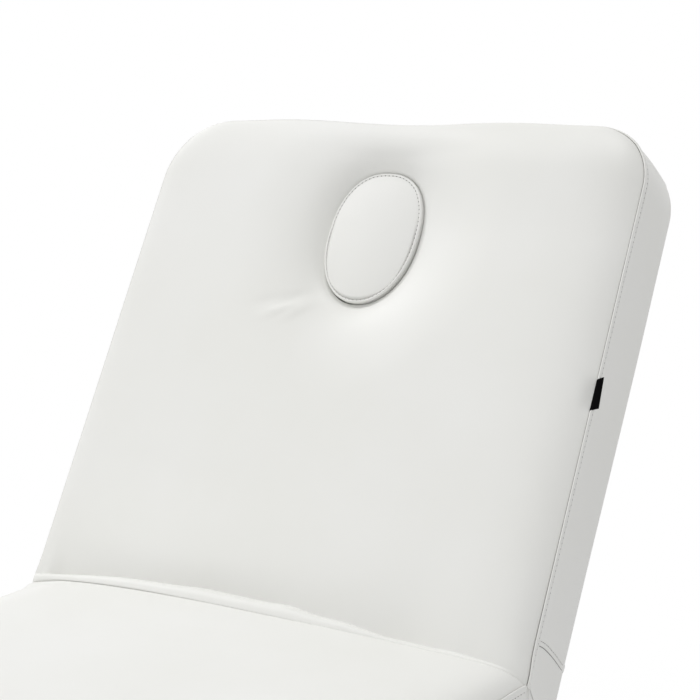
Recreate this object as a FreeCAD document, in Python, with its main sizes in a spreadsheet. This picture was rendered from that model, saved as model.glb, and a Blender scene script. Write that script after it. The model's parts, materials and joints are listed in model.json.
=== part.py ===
# Electric beauty bed: backrest with a face-hole plug, seat and leg rest on a parallelogram lift.
# Millimetres and degrees. +Z up, +Y to the head end, origin on the floor under the middle of the bed.
import FreeCAD
import Part
import Sketcher
import os
import re
from FreeCAD import Placement, Rotation, Vector

SIZES = [
    ("bed_width", 620, "across the side seams"),
    ("back_face_length", 588, "crease to head seam"),
    ("seat_length", 620, "leg hinge to back hinge"),
    ("leg_length", 600, "leg hinge to foot end"),
    ("section_depth", 86, "side panel, board included"),
    ("crown_height", 20, "rise of the face over its seams"),
    ("end_crown", 6, "what is left of the crown at head and foot"),
    ("side_draw", 3, "how far the stretched sides draw in"),
    ("corner_radius", 70, "head and foot corners in plan"),
    ("corner_relief", 0.5, "shift that makes the corner cuts cross the sides"),
    ("cover_wall", 1.5, "coated fabric with its backing"),
    ("soft_gap", 0.3, "air round soft pieces"),
    ("board_depth", 15, "plywood"),
    ("back_angle", 61, "backrest raised as shown"),
    ("crease_gap", 0.4, "each cushion clear of the mitre"),
    ("section_gap", 2, "each cushion clear of the leg hinge plane"),
    ("hinge_relief", 18, "hollow round the hinge axes"),
    ("plug_width", 118, "face plug across"),
    ("plug_length", 160, "face plug along the bed"),
    ("plug_gap", 0.6, "plug to lined hole, each side"),
    ("plug_setback", 140, "head seam to plug centre"),
    ("plug_crown", 8, "dome of the plug"),
    ("plug_proud", 10, "plug edge over the rim of its hole"),
    ("plug_ledge", 14, "board left under the plug edge"),
    ("dimple_depth", 14, "rim of the hole under the seam plane"),
    ("dimple_margin", 8, "flat rim round the hole"),
    ("dimple_reach", 100, "how far the dimple spreads"),
    ("tag_length", 33, "folded tab in the side seam"),
    ("tag_drop", 13, "tab hanging over the side panel"),
    ("tag_thickness", 1, "two folds"),
    ("tag_centre", 290, "crease to tab centre"),
    ("tube_wall", 2, "all square tube"),
    ("rail_width", 40, "base and seat rails"),
    ("rail_height", 40, "seat rails"),
    ("rail_inset", 60, "side seam to middle of the base and seat rails"),
    ("rail_setback", 25, "seat rails stop short of the hinge axes"),
    ("inner_rail_size", 30, "back and leg rails and their cross tubes"),
    ("inner_rail_inset", 50, "seat rails to back and leg rails, middle to middle"),
    ("inner_rail_start", 40, "hinge axis to rail"),
    ("inner_rail_end", 565, "hinge axis to far end of the rail"),
    ("strap_thickness", 6, "hinge straps and levers"),
    ("strap_length", 100, "strap along its rail"),
    ("lower_cross_start", 55, "hinge axis to first cross tube"),
    ("upper_cross_start", 365, "hinge axis to second cross tube"),
    ("plate_thickness", 8, "pivot plates and hinge lugs"),
    ("lug_length", 55, "hinge lug along its rail"),
    ("lug_radius", 16, "round end of lugs and straps"),
    ("hinge_pin_radius", 7, "back and leg hinge pins"),
    ("pin_radius", 8, "lift pivot pins"),
    ("pin_gap", 0.05, "running clearance on the radius"),
    ("pin_head", 12, "radius of pin heads and retaining collars"),
    ("head_thickness", 6, "pin head"),
    ("collar_thickness", 3.5, "retaining collar"),
    ("collar_gap", 0.5, "collar to the face it keeps"),
    ("foot_height", 25, "rubber foot"),
    ("foot_radius", 24, "rubber foot at the floor"),
    ("foot_top_radius", 19, "rubber foot at the rail"),
    ("foot_inset", 45, "rail end to foot centre"),
    ("base_rail_height", 60, "base rails and cross tubes"),
    ("base_front_reach", 80, "base ahead of the front pivots"),
    ("base_rear_reach", 140, "base behind the back hinge"),
    ("cap_thickness", 4, "rail end caps"),
    ("lower_pivot_rise", 35, "lower pivots over the base rails"),
    ("upper_pivot_drop", 35, "upper pivots under the seat rails"),
    ("arm_length", 520, "pivot to pivot"),
    ("arm_angle", 42, "arms over level at rest"),
    ("lift_down", 17, "arm travel down from rest"),
    ("lift_up", 23, "arm travel up from rest"),
    ("arm_width", 25, "arm tube across"),
    ("arm_height", 40, "arm tube and its torque tube"),
    ("arm_inset", 50, "base rails to arms, middle to middle"),
    ("arm_boss", 9, "eye boss past the arm tube"),
    ("eye_radius", 20, "eyes and pivot plates"),
    ("bush_wall", 3, "plain bushes in the eyes"),
    ("front_pivot_setback", 130, "leg hinge to front upper pivot"),
    ("rear_pivot_setback", 90, "back hinge to rear upper pivot"),
    ("plate_half_width", 25, "pivot plates at the rail"),
    ("cross_gap", 5, "pivot plate to the seat cross tube beside it"),
    ("torque_tube_start", 50, "pivot to torque tube along the arm"),
    ("lift_lever_radius", 145, "lower pivot to line of the lift rod"),
    ("back_lever_radius", 80, "back hinge to line of its rod"),
    ("leg_lever_radius", 90, "leg hinge to line of its rod"),
    ("leg_fold", 30, "leg rest folding down"),
    ("lever_half_width", 16, "levers round their slots"),
    ("fork_half_gap", 12, "lever plates from the rod line"),
    ("slot_play", 2.2, "rod pin to sides of the slot"),
    ("side_offset", 75, "back and leg rods from the middle"),
    ("rod_radius", 10, "actuator rods"),
    ("rod_pin_radius", 6, "cross pin in the rod eye"),
    ("rod_eye_radius", 14, "rod eye"),
    ("rod_eye_width", 22, "rod eye"),
    ("rod_hold", 45, "rod left in its tube fully out"),
    ("eye_clear", 22, "tube end past the rod pin fully in"),
    ("tube_radius", 20, "actuator tubes"),
    ("tube_bore", 16, "inside of the tubes"),
    ("gland_length", 20, "rod guide at the tube mouth"),
    ("tube_spare", 8, "tube past the rod fully in"),
    ("housing_size", 70, "gear housing across"),
    ("housing_length", 100, "gear housing along the rod"),
    ("housing_chamfer", 12, "gear housing edges"),
    ("motor_radius", 26, "motor can"),
    ("motor_length", 70, "motor can under its housing"),
    ("post_width", 60, "lift actuator posts along the bed"),
    ("control_width", 180, "control box"),
    ("control_depth", 84, "control box"),
    ("control_height", 62, "control box"),
    ("control_chamfer", 8, "control box edges"),
    ("inlet_width", 48, "mains inlet"),
    ("inlet_height", 28, "mains inlet"),
    ("inlet_depth", 10, "mains inlet past the box"),
    ("inlet_wall", 5, "mains inlet rim"),
    ("holder_start", 270, "back hinge to near side of the handset holder"),
    ("holder_width", 60, "handset holder"),
    ("holder_wall", 5, "handset holder"),
    ("holder_height", 150, "handset holder"),
    ("remote_width", 54, "handset"),
    ("remote_height", 138, "handset"),
    ("remote_thickness", 22, "handset"),
    ("remote_chamfer", 7, "handset corners"),
    ("key_width", 38, "rocker key"),
    ("key_height", 24, "rocker key"),
    ("key_thickness", 5, "rocker key"),
    ("key_proud", 2.5, "rocker key past the handset face"),
    ("key_gap", 0.6, "rocker key in its recess"),
    ("key_recess", 6, "recess under a rocker key"),
    ("key_pitch", 34, "between rocker keys"),
    ("key_pin_radius", 1.5, "rocker key pivot"),
    ("key_pin_reach", 2, "pivot into the handset wall"),
    ("past", 5, "tools run past what they cut"),
]

doc = FreeCAD.newDocument("beauty_bed")
sheet = doc.addObject("Spreadsheet::Sheet", "sheet")
for row, (name, value, note) in enumerate(SIZES, start=1):
    sheet.set(f"A{row}", name)
    sheet.set(f"B{row}", str(value))
    sheet.set(f"C{row}", note)
    sheet.setAlias(f"B{row}", name)
doc.recompute()
NAMES = {name for name, value, note in SIZES}


def formula(text):
    """Points the size names in a formula at the sheet."""
    return re.sub(r"[a-z_]+", lambda word: "sheet." + word[0] if word[0] in NAMES else word[0], text)


def number(text):
    """The present value of a formula."""
    return float(sheet.evalExpression(formula(text)))


# Places that several pieces share
CREASE = "(section_depth * tan(back_angle / 2))"
BACK_END = f"({CREASE} + back_face_length)"
PLUG_Y = f"({BACK_END} - plug_setback)"
LOW_Z = "(foot_height + base_rail_height + lower_pivot_rise)"
HINGE_Z = f"({LOW_Z} + arm_length * sin(arm_angle) + upper_pivot_drop + rail_height)"
HINGE_Y = f"((seat_length + leg_length - {BACK_END} * cos(back_angle)) / 2)"
LEG_Y = f"({HINGE_Y} - seat_length)"
REAR_Y = f"({HINGE_Y} - rear_pivot_setback - arm_length * cos(arm_angle))"
FRONT_Y = f"({REAR_Y} - seat_length + rear_pivot_setback + front_pivot_setback)"
RAIL_TOP = "(foot_height + base_rail_height)"
RAIL_MID = "(bed_width / 2 - rail_inset)"
RAIL_IN = f"({RAIL_MID} - rail_width / 2)"
RAIL_OUT = f"({RAIL_MID} + rail_width / 2)"
INNER_MID = f"({RAIL_MID} - inner_rail_inset)"
ARM_IN = f"({RAIL_MID} - arm_inset - arm_width / 2)"
ARM_OUT = f"({RAIL_MID} - arm_inset + arm_width / 2)"
PLATE_IN = f"({RAIL_IN} - plate_thickness)"
MARGIN = "(cover_wall + soft_gap)"

BASE = {}
SEAT = {"y": HINGE_Y, "z": HINGE_Z}
BACK = {"y": HINGE_Y, "z": HINGE_Z, "tilt": "back_angle"}
LEG = {"y": LEG_Y, "z": HINGE_Z}
REAR_ARM = {"y": REAR_Y, "z": LOW_Z, "tilt": "arm_angle"}
FRONT_ARM = {"y": FRONT_Y, "z": LOW_Z, "tilt": "arm_angle"}
nodes = []


def place(piece, x="0", y="0", z="0", tilt=None):
    """Binds where a piece sits; tilt turns it about the X axis."""
    if tilt:
        piece.Placement = Placement(Vector(), Rotation(Vector(1, 0, 0), 1))
        piece.setExpression("Placement.Rotation.Angle", formula(tilt))
    for axis, text in (("x", x), ("y", y), ("z", z)):
        piece.setExpression(f"Placement.Base.{axis}", formula(text))


def block(name, x, y, z):
    """A box between two limits on each axis."""
    box = doc.addObject("Part::Box", name)
    for size, (low, high) in zip(("Length", "Width", "Height"), (x, y, z)):
        box.setExpression(size, formula(f"({high}) - ({low})"))
    place(box, x[0], y[0], z[0])
    return box


def rod(name, axis, radius, reach, a="0", b="0"):
    """A cylinder along an axis between two limits; a and b place it on the other two."""
    bar = doc.addObject("Part::Cylinder", name)
    bar.setExpression("Radius", formula(radius))
    bar.setExpression("Height", formula(f"({reach[1]}) - ({reach[0]})"))
    turns = {"x": Rotation(Vector(0, 1, 0), 90), "y": Rotation(Vector(1, 0, 0), -90), "z": Rotation()}
    bar.Placement = Placement(Vector(), turns[axis])
    spots = {"x": (reach[0], a, b), "y": (a, reach[0], b), "z": (a, b, reach[0])}
    place(bar, *spots[axis])
    return bar


def join(name, pieces):
    whole = doc.addObject("Part::MultiFuse", name)
    whole.Shapes = pieces
    return whole


def cut(name, base, *tools):
    """A piece with tools taken out of it one after the other."""
    for index, tool in enumerate(tools):
        left = doc.addObject("Part::Cut", f"{name}_{index}")
        left.Base = base
        left.Tool = tool
        base = left
    return base


def mirrored(piece):
    """A piece and its twin on the other side of the bed."""
    twin = doc.addObject("Part::Mirroring", piece.Name + "_twin")
    twin.Source = piece
    twin.Normal = Vector(1, 0, 0)
    return [piece, twin]


def hollow(name, x, y, z, along, closed=None):
    """A square tube along one axis; a low or high end may be welded shut."""
    inside = []
    for axis, (low, high) in zip("xyz", (x, y, z)):
        insets = ["tube_wall", "tube_wall"]
        if axis == along:
            insets = ["tube_wall" if closed == end else "(0 - past)" for end in ("low", "high")]
        inside.append((f"{low} + {insets[0]}", f"{high} - {insets[1]}"))
    return cut(name, block(name + "_solid", x, y, z), block(name + "_bore", *inside))


def sketched(name, plane, points, depth, start="0", holes=(), flip=False):
    """A body padded from a sketched outline with round holes, its start bound along the pad."""
    body = doc.addObject("PartDesign::Body", name)
    sketch = body.newObject("Sketcher::SketchObject", name + "_sketch")
    sketch.AttachmentSupport = [([f for f in body.Origin.OriginFeatures if f.Role == plane][0], "")]
    sketch.MapMode = "FlatFace"
    spots = [Vector(number(u), number(v), 0) for u, v in points]
    count = len(points)
    for i in range(count):
        sketch.addGeometry(Part.LineSegment(spots[i], spots[(i + 1) % count]))
    for i in range(count):
        sketch.addConstraint(Sketcher.Constraint("Coincident", i, 2, (i + 1) % count, 1))
    pins = [(i, 1, u, v) for i, (u, v) in enumerate(points)]
    for u, v, radius in holes:
        circle = Part.Circle(Vector(number(u), number(v), 0), Vector(0, 0, 1), number(radius))
        ring = sketch.addGeometry(circle)
        pins.append((ring, 3, u, v))
        spot = sketch.addConstraint(Sketcher.Constraint("Radius", ring, number(radius)))
        sketch.setExpression(f"Constraints[{spot}]", formula(radius))
    for item, end, u, v in pins:
        for kind, text in (("DistanceX", u), ("DistanceY", v)):
            spot = sketch.addConstraint(Sketcher.Constraint(kind, -1, 1, item, end, number(text)))
            sketch.setExpression(f"Constraints[{spot}]", formula(text))
    pad = body.newObject("PartDesign::Pad", name + "_pad")
    pad.Profile = sketch
    pad.setExpression("Length", formula(depth))
    pad.Reversed = flip
    place(body, **{{"YZ_Plane": "x", "XZ_Plane": "y", "XY_Plane": "z"}[plane]: start})
    return body


def rounded(body, radius, test):
    """Rounds the upright edges of a padded body that pass the test."""
    doc.recompute()
    pad = body.Tip
    names = []
    for index, edge in enumerate(pad.Shape.Edges, start=1):
        ends = [vertex.Point for vertex in edge.Vertexes]
        flat = Vector(1, 1, 0)
        upright = len(ends) == 2 and (ends[0] - ends[1]).scale(*flat).Length < 1e-6
        if upright and test(ends[0]):
            names.append(f"Edge{index}")
    fillet = body.newObject("PartDesign::Fillet", body.Name + "_round")
    fillet.Base = (pad, names)
    fillet.setExpression("Radius", formula(radius))
    return body


def node(label, pieces, at):
    """Groups pieces as one named sub-part and puts it in its place."""
    whole = doc.addObject("Part::Compound", label)
    whole.Label = label
    whole.Links = pieces
    place(whole, **at)
    nodes.append(whole)


def span(sign, start, near, far):
    """Limits of a stretch that runs from a start towards plus or minus."""
    if sign > 0:
        return (f"{start} + {near}", f"{start} + {far}")
    return (f"{start} - ({far})", f"{start} - ({near})")


def both(half):
    return (f"0 - ({half})", half)


# Base frame: two rails and three cross tubes on rubber feet
base_front = f"({FRONT_Y} - base_front_reach)"
base_rear = f"({HINGE_Y} + base_rear_reach)"
base_z = ("foot_height", RAIL_TOP)
LIFT_HALF = "((lift_up + lift_down) / 2)"
lift_stroke = f"(2 * lift_lever_radius * tan({LIFT_HALF}))"
lift_mouth = f"({REAR_Y} + lift_lever_radius * tan({LIFT_HALF}) + eye_clear + rod_eye_radius)"
post_y = f"({lift_mouth} + {lift_stroke} + rod_hold + tube_spare + housing_length / 2)"
rail = hollow("base_rail", (RAIL_IN, RAIL_OUT), (base_front, base_rear), base_z, "y")
node("base_side_rails", mirrored(rail), BASE)
crosses = []
for name, low in (
    ("front", base_front),
    ("post", f"{post_y} - rail_width / 2"),
    ("rear", f"{base_rear} - rail_width"),
):
    crosses.append(hollow(f"base_cross_{name}", both(RAIL_IN), (low, f"{low} + rail_width"), base_z, "x"))
node("base_cross_tubes", crosses, BASE)
caps = []
for name, low in (("front", f"{base_front} - cap_thickness"), ("rear", base_rear)):
    cap = block(f"base_cap_{name}", (RAIL_IN, RAIL_OUT), (low, f"{low} + cap_thickness"), base_z)
    caps += mirrored(cap)
node("base_end_caps", caps, BASE)
feet = []
for name, spot in (("front", f"{base_front} + foot_inset"), ("rear", f"{base_rear} - foot_inset")):
    foot = doc.addObject("Part::Cone", f"foot_{name}")
    foot.setExpression("Radius1", formula("foot_radius"))
    foot.setExpression("Radius2", formula("foot_top_radius"))
    foot.setExpression("Height", formula("foot_height"))
    place(foot, RAIL_MID, spot)
    feet += mirrored(foot)
node("rubber_feet", feet, BASE)


# Pivot plates and pins of the lift: the same pattern low on the base and high under the seat
def pivot_plate(name, y, z, edge):
    """A plate from a rail to a pivot, round at the pivot."""
    wide = [(f"{y} - plate_half_width", edge), (f"{y} + plate_half_width", edge)]
    narrow = [(f"{y} + eye_radius", z), (f"{y} - eye_radius", z)]
    flat = sketched(name + "_flat", "YZ_Plane", wide + narrow, "plate_thickness", PLATE_IN)
    eye = rod(name + "_eye", "x", "eye_radius", (PLATE_IN, RAIL_IN), y, z)
    bore = rod(name + "_bore", "x", "pin_radius", (f"{PLATE_IN} - past", f"{RAIL_IN} + past"), y, z)
    return cut(name, join(name + "_blank", [flat, eye]), bore)


def pivot_pin(name, y, z):
    """A headed pin with its retaining collar."""
    inner = f"({ARM_IN} - collar_gap)"
    shank = rod(name + "_shank", "x", "pin_radius", (inner, RAIL_IN), y, z)
    head = rod(name + "_head", "x", "pin_head", (RAIL_IN, f"{RAIL_IN} + head_thickness"), y, z)
    collar = rod(name + "_collar", "x", "pin_head", (f"{inner} - collar_thickness", inner), y, z)
    return join(name, [shank, head, collar])


for label, at, spots, z, edge in (
    ("lower", BASE, (FRONT_Y, REAR_Y), LOW_Z, "foot_height"),
    ("upper", SEAT, ("(front_pivot_setback - seat_length)", "(0 - rear_pivot_setback)"),
     "(0 - rail_height - upper_pivot_drop)", "0"),
):
    plates = []
    pins = []
    for name, y in zip(("front", "rear"), spots):
        plates += mirrored(pivot_plate(f"{label}_plate_{name}", y, z, edge))
        pins += mirrored(pivot_pin(f"{label}_pin_{name}", y, z))
    node(f"{label}_pivot_plates", plates, at)
    node(f"{label}_pivot_pins", pins, at)

# Lift arms: tubes with bushed eyes, each pair tied by a torque tube
for label, at in (("rear", REAR_ARM), ("front", FRONT_ARM)):
    arm_z = both("arm_height / 2")
    shell = block(f"{label}_arm_solid", (ARM_IN, ARM_OUT), ("0", "arm_length"), arm_z)
    inside = block(
        f"{label}_arm_inside",
        (f"{ARM_IN} + tube_wall", f"{ARM_OUT} - tube_wall"),
        ("eye_radius", "arm_length - eye_radius"),
        both("(arm_height / 2 - tube_wall)"),
    )
    parts = [cut(f"{label}_arm_tube", shell, inside)]
    bores = []
    bushes = []
    for name, y in (("low", "0"), ("high", "arm_length")):
        reach = (ARM_IN, f"{ARM_OUT} + arm_boss")
        parts.append(rod(f"{label}_{name}_eye", "x", "eye_radius", reach, y))
        deep = (f"{ARM_IN} - past", f"{ARM_OUT} + arm_boss + past")
        bores.append(rod(f"{label}_{name}_bore", "x", "pin_radius + bush_wall", deep, y))
        sleeve = rod(f"{label}_{name}_sleeve", "x", "pin_radius + bush_wall", reach, y)
        hole = rod(f"{label}_{name}_hole", "x", "pin_radius + pin_gap", deep, y)
        bushes += mirrored(cut(f"{label}_{name}_bush", sleeve, hole))
    arm = cut(f"{label}_arm", join(f"{label}_arm_blank", parts), *bores)
    node(f"{label}_lift_arms", mirrored(arm), at)
    node(f"{label}_arm_bushes", bushes, at)
    reach = ("torque_tube_start", "torque_tube_start + arm_height")
    node(f"{label}_torque_tube", [hollow(f"{label}_torque", both(ARM_IN), reach, arm_z, "x")], at)


# Slotted levers: two plates from a cross tube to the slot in which the rod pin rides
def lever(label, at, x, angle, near, half_sweep, root, root_end):
    """Plates whose slot runs along the angle, from the rod line out to the end of the swing."""
    far = f"({near} / cos({half_sweep}))"
    along = (f"cos({angle})", f"sin({angle})")

    def spot(radius, side):
        u = f"{radius} * {along[0]} - ({side}) * {along[1]}"
        v = f"{radius} * {along[1]} + ({side}) * {along[0]}"
        return (u, v)

    first, second = root_end
    outline = list(root)
    outline += [spot(near, first), spot(far, first), spot(far, second), spot(near, second)]
    plates = []
    wide = "(rod_pin_radius + slot_play)"
    for name, start in (("a", f"{x} + fork_half_gap"), ("b", f"{x} - fork_half_gap - strap_thickness")):
        end = f"{start} + strap_thickness"
        reach = (f"{start} - past", f"{end} + past")
        flat = sketched(f"{label}_{name}_flat", "YZ_Plane", outline, "strap_thickness", start)
        tip = rod(f"{label}_{name}_tip", "x", "lever_half_width", (start, end), *spot(far, "0"))
        inner = rod(f"{label}_{name}_in", "x", wide, reach, *spot(near, "0"))
        outer = rod(f"{label}_{name}_out", "x", wide, reach, *spot(far, "0"))
        slot = block(f"{label}_{name}_slot", reach, (near, far), both(wide))
        place(slot, reach[0], *spot(near, f"0 - {wide}"), tilt=angle)
        plates.append(cut(f"{label}_{name}", join(f"{label}_{name}_blank", [flat, tip]), inner, outer, slot))
    node(label, plates, at)


SIDE = ("0 - lever_half_width", "lever_half_width")
lever(
    "lift_lever_plates",
    REAR_ARM,
    "0",
    "(90 - arm_angle - (lift_up - lift_down) / 2)",
    "lift_lever_radius",
    "((lift_up + lift_down) / 2)",
    [("torque_tube_start", "arm_height / 2"), ("torque_tube_start + arm_height", "arm_height / 2")],
    SIDE,
)


# Linear actuators: gear housing, motor, tube with its gland, and a rod with a cross pin
def actuator(label, at, x, line, sign, mouth, stroke, housing_at):
    """Builds one actuator on the line at height line; sign is the way from the rod eye to the motor."""
    end = f"({mouth} {'+' if sign > 0 else '-'} ({stroke} + rod_hold + tube_spare))"
    low, high = (mouth, end) if sign > 0 else (end, mouth)
    outside = rod(f"{label}_tube_outside", "y", "tube_radius", (low, high), x, line)
    cavity = span(sign, mouth, "gland_length", f"({stroke} + rod_hold + tube_spare + past)")
    room = rod(f"{label}_tube_room", "y", "tube_bore", cavity, x, line)
    gland = rod(f"{label}_gland", "y", "rod_radius + pin_gap", (f"{low} - past", f"{high} + past"), x, line)
    node(f"{label}_outer_tube", [cut(f"{label}_tube", outside, room, gland)], at)
    half = "(housing_size / 2)"
    trim = "(housing_size / 2 - housing_chamfer)"
    ring = [("0 - " + half, "0 - " + trim), ("0 - " + trim, "0 - " + half), (trim, "0 - " + half)]
    ring += [(half, "0 - " + trim), (half, trim), (trim, half), ("0 - " + trim, half), ("0 - " + half, trim)]
    ring = [(f"{x} + {u}", f"{line} + {v}") for u, v in ring]
    reach = span(sign, end, "0", "housing_length")
    case = sketched(f"{label}_case", "XZ_Plane", ring, "housing_length", reach[0], flip=True)
    node(f"{label}_gear_housing", [case], at)
    under = f"({line} - {half})"
    can = rod(f"{label}_can", "z", "motor_radius", (f"{under} - motor_length", under), x, housing_at)
    node(f"{label}_motor", [can], at)


def actuator_rod(label, at, x, line, sign, pin, length):
    """The rod, its eye and the cross pin that rides in the lever slots."""
    wide = (f"{x} - rod_eye_width / 2", f"{x} + rod_eye_width / 2")
    eye = rod(f"{label}_eye", "x", "rod_eye_radius", wide, pin, line)
    half = "(fork_half_gap + strap_thickness + collar_thickness)"
    cross = rod(f"{label}_cross", "x", "rod_pin_radius", (f"{x} - {half}", f"{x} + {half}"), pin, line)
    shaft = rod(f"{label}_shaft", "y", "rod_radius", span(sign, pin, "0", length), x, line)
    node(label, [join(f"{label}_whole", [eye, cross, shaft])], at)


lift_line = f"({LOW_Z} + lift_lever_radius)"
lift_pin = f"({REAR_Y} + lift_lever_radius * tan((lift_up - lift_down) / 2))"
ROD_LENGTH = "(eye_clear + rod_eye_radius + rod_hold)"
actuator("lift", BASE, "0", lift_line, 1, lift_mouth, lift_stroke, post_y)
actuator_rod("lift_rod", BASE, "0", lift_line, 1, lift_pin, f"({lift_stroke} + {ROD_LENGTH})")
post_reach = (f"{post_y} - post_width / 2", f"{post_y} + post_width / 2")
post_x = ("housing_size / 2", "housing_size / 2 + strap_thickness")
post = block("lift_post", post_x, post_reach, (RAIL_TOP, f"{lift_line} + housing_size / 2 - housing_chamfer"))
node("lift_actuator_posts", mirrored(post), BASE)

back_stroke = "(2 * back_lever_radius * tan(back_angle / 2))"
back_line = "(0 - back_lever_radius)"
back_mouth = f"(0 - {back_stroke} / 2 - eye_clear - rod_eye_radius)"
back_motor_y = f"({back_mouth} - {back_stroke} - rod_hold - tube_spare - housing_length / 2)"
back_pin = f"({back_stroke} / 2)"
actuator("back", SEAT, "side_offset", back_line, -1, back_mouth, back_stroke, back_motor_y)
actuator_rod("back_rod", SEAT, "side_offset", back_line, -1, back_pin, f"({back_stroke} + {ROD_LENGTH})")

leg_stroke = "(2 * leg_lever_radius * tan(leg_fold / 2))"
leg_line = "(0 - leg_lever_radius)"
leg_mouth = f"(0 - seat_length + {leg_stroke} / 2 + eye_clear + rod_eye_radius)"
leg_motor_y = f"({leg_mouth} + {leg_stroke} + rod_hold + tube_spare + housing_length / 2)"
leg_pin = f"(0 - seat_length - {leg_stroke} / 2)"
leg_x = "(0 - side_offset)"
actuator("leg", SEAT, leg_x, leg_line, 1, leg_mouth, leg_stroke, leg_motor_y)
actuator_rod("leg_rod", SEAT, leg_x, leg_line, 1, leg_pin, f"({leg_stroke} + {ROD_LENGTH})")

# Seat frame: rails, cross tubes, hinge lugs and pins, actuator brackets
seat_z = ("0 - rail_height", "0")
rail_y = ("0 - seat_length + rail_setback", "0 - rail_setback")
rail = hollow("seat_rail", (RAIL_IN, RAIL_OUT), rail_y, seat_z, "y")
node("seat_side_rails", mirrored(rail), SEAT)
caps = []
for name, low in (("front", f"{rail_y[0]} - cap_thickness"), ("rear", rail_y[1])):
    cap = block(f"seat_cap_{name}", (RAIL_IN, RAIL_OUT), (low, f"{low} + cap_thickness"), seat_z)
    caps += mirrored(cap)
node("seat_rail_caps", caps, SEAT)
crosses = []
for name, middle in (
    ("rear", "(0 - rear_pivot_setback - plate_half_width - rail_width / 2 - cross_gap)"),
    ("back", back_motor_y),
    ("leg", leg_motor_y),
    ("front", "(front_pivot_setback - seat_length - plate_half_width - rail_width / 2 - cross_gap)"),
):
    reach = (f"{middle} - rail_width / 2", f"{middle} + rail_width / 2")
    crosses.append(hollow(f"seat_cross_{name}", both(RAIL_IN), reach, seat_z, "x"))
node("seat_cross_tubes", crosses, SEAT)
brackets = []
for name, x, line, y in (
    ("back", "side_offset", back_line, back_motor_y),
    ("leg", leg_x, leg_line, leg_motor_y),
):
    pad_x = (f"{x} - housing_size / 2 + housing_chamfer", f"{x} + housing_size / 2 - housing_chamfer")
    pad_y = (f"{y} - rail_width / 2", f"{y} + rail_width / 2")
    brackets.append(block(f"{name}_bracket", pad_x, pad_y, (f"{line} + housing_size / 2", "0 - rail_height")))
node("actuator_brackets", brackets, SEAT)
lugs = []
pins = []
for name, axis, way in (("back", "0", "-"), ("leg", "(0 - seat_length)", "+")):
    outline = [
        (f"{axis} {way} lug_length", "0"),
        (f"{axis} {way} lug_length", "0 - rail_height"),
        (f"{axis} {way} lug_radius", "0 - rail_height"),
        (axis, "0 - lug_radius"),
        (axis, "0"),
    ]
    flat = sketched(f"{name}_lug_flat", "YZ_Plane", outline, "plate_thickness", PLATE_IN)
    eye = rod(f"{name}_lug_eye", "x", "lug_radius", (PLATE_IN, RAIL_IN), axis)
    bore = rod(f"{name}_lug_bore", "x", "hinge_pin_radius", (f"{PLATE_IN} - past", f"{RAIL_IN} + past"), axis)
    lugs += mirrored(cut(f"{name}_lug", join(f"{name}_lug_blank", [flat, eye]), bore))
    inner = f"({INNER_MID} + inner_rail_size / 2 - collar_gap)"
    shank = rod(f"{name}_pin_shank", "x", "hinge_pin_radius", (inner, RAIL_IN), axis)
    head = rod(f"{name}_pin_head", "x", "pin_head", (RAIL_IN, f"{RAIL_IN} + head_thickness"), axis)
    collar = rod(f"{name}_pin_collar", "x", "pin_head", (f"{inner} - collar_thickness", inner), axis)
    pins += mirrored(join(f"{name}_hinge_pin", [shank, head, collar]))
node("seat_hinge_lugs", lugs, SEAT)
node("hinge_pins", pins, SEAT)


# Back and leg frames: rails with hinge straps, cross tubes and their levers
def swing_frame(label, at, sign):
    """A frame that starts at its hinge axis and runs towards plus or minus Y."""
    size_z = ("0 - inner_rail_size", "0")
    half = "inner_rail_size / 2"
    rail_x = (f"{INNER_MID} - {half}", f"{INNER_MID} + {half}")
    rail_y = span(sign, "0", "inner_rail_start", "inner_rail_end")
    tube = hollow(f"{label}_rail", rail_x, rail_y, size_z, "y", "high" if sign > 0 else "low")
    way = "" if sign > 0 else "0 - "
    outline = [
        ("0", "0"),
        ("0", "0 - lug_radius"),
        (f"{way}lug_radius", "0 - inner_rail_size"),
        (f"{way}strap_length", "0 - inner_rail_size"),
        (f"{way}strap_length", "0"),
    ]
    strap_in = f"({INNER_MID} + {half})"
    strap_out = f"({strap_in} + strap_thickness)"
    flat = sketched(f"{label}_strap_flat", "YZ_Plane", outline, "strap_thickness", strap_in)
    eye = rod(f"{label}_strap_eye", "x", "lug_radius", (strap_in, strap_out))
    through = (f"{strap_in} - past", f"{strap_out} + past")
    bore = rod(f"{label}_strap_bore", "x", "hinge_pin_radius + pin_gap", through)
    strap = cut(f"{label}_strap", join(f"{label}_strap_blank", [flat, eye]), bore)
    node(f"{label}_side_rails", mirrored(join(f"{label}_rail_welded", [tube, strap])), at)
    crosses = []
    for name, start in (("lower", "lower_cross_start"), ("upper", "upper_cross_start")):
        reach = span(sign, "0", start, f"({start} + inner_rail_size)")
        crosses.append(hollow(f"{label}_cross_{name}", both(rail_x[0]), reach, size_z, "x"))
    node(f"{label}_cross_tubes", crosses, at)


swing_frame("back", BACK, 1)
swing_frame("leg", LEG, -1)
lever(
    "back_lever_plates",
    BACK,
    "side_offset",
    "(0 - 90 - back_angle / 2)",
    "back_lever_radius",
    "(back_angle / 2)",
    [
        ("lower_cross_start + inner_rail_size", "0 - inner_rail_size"),
        ("lower_cross_start", "0 - inner_rail_size"),
        ("lower_cross_start", "0 - past"),
    ],
    ("0 - lever_half_width", "lever_half_width"),
)
lever(
    "leg_lever_plates",
    LEG,
    leg_x,
    "(0 - 90 - leg_fold / 2)",
    "leg_lever_radius",
    "(leg_fold / 2)",
    [
        ("0 - lower_cross_start - inner_rail_size", "0 - inner_rail_size"),
        ("0 - lower_cross_start", "0 - inner_rail_size"),
        ("0 - lower_cross_start", "0 - past"),
    ],
    ("lever_half_width", "0 - lever_half_width"),
)

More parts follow.
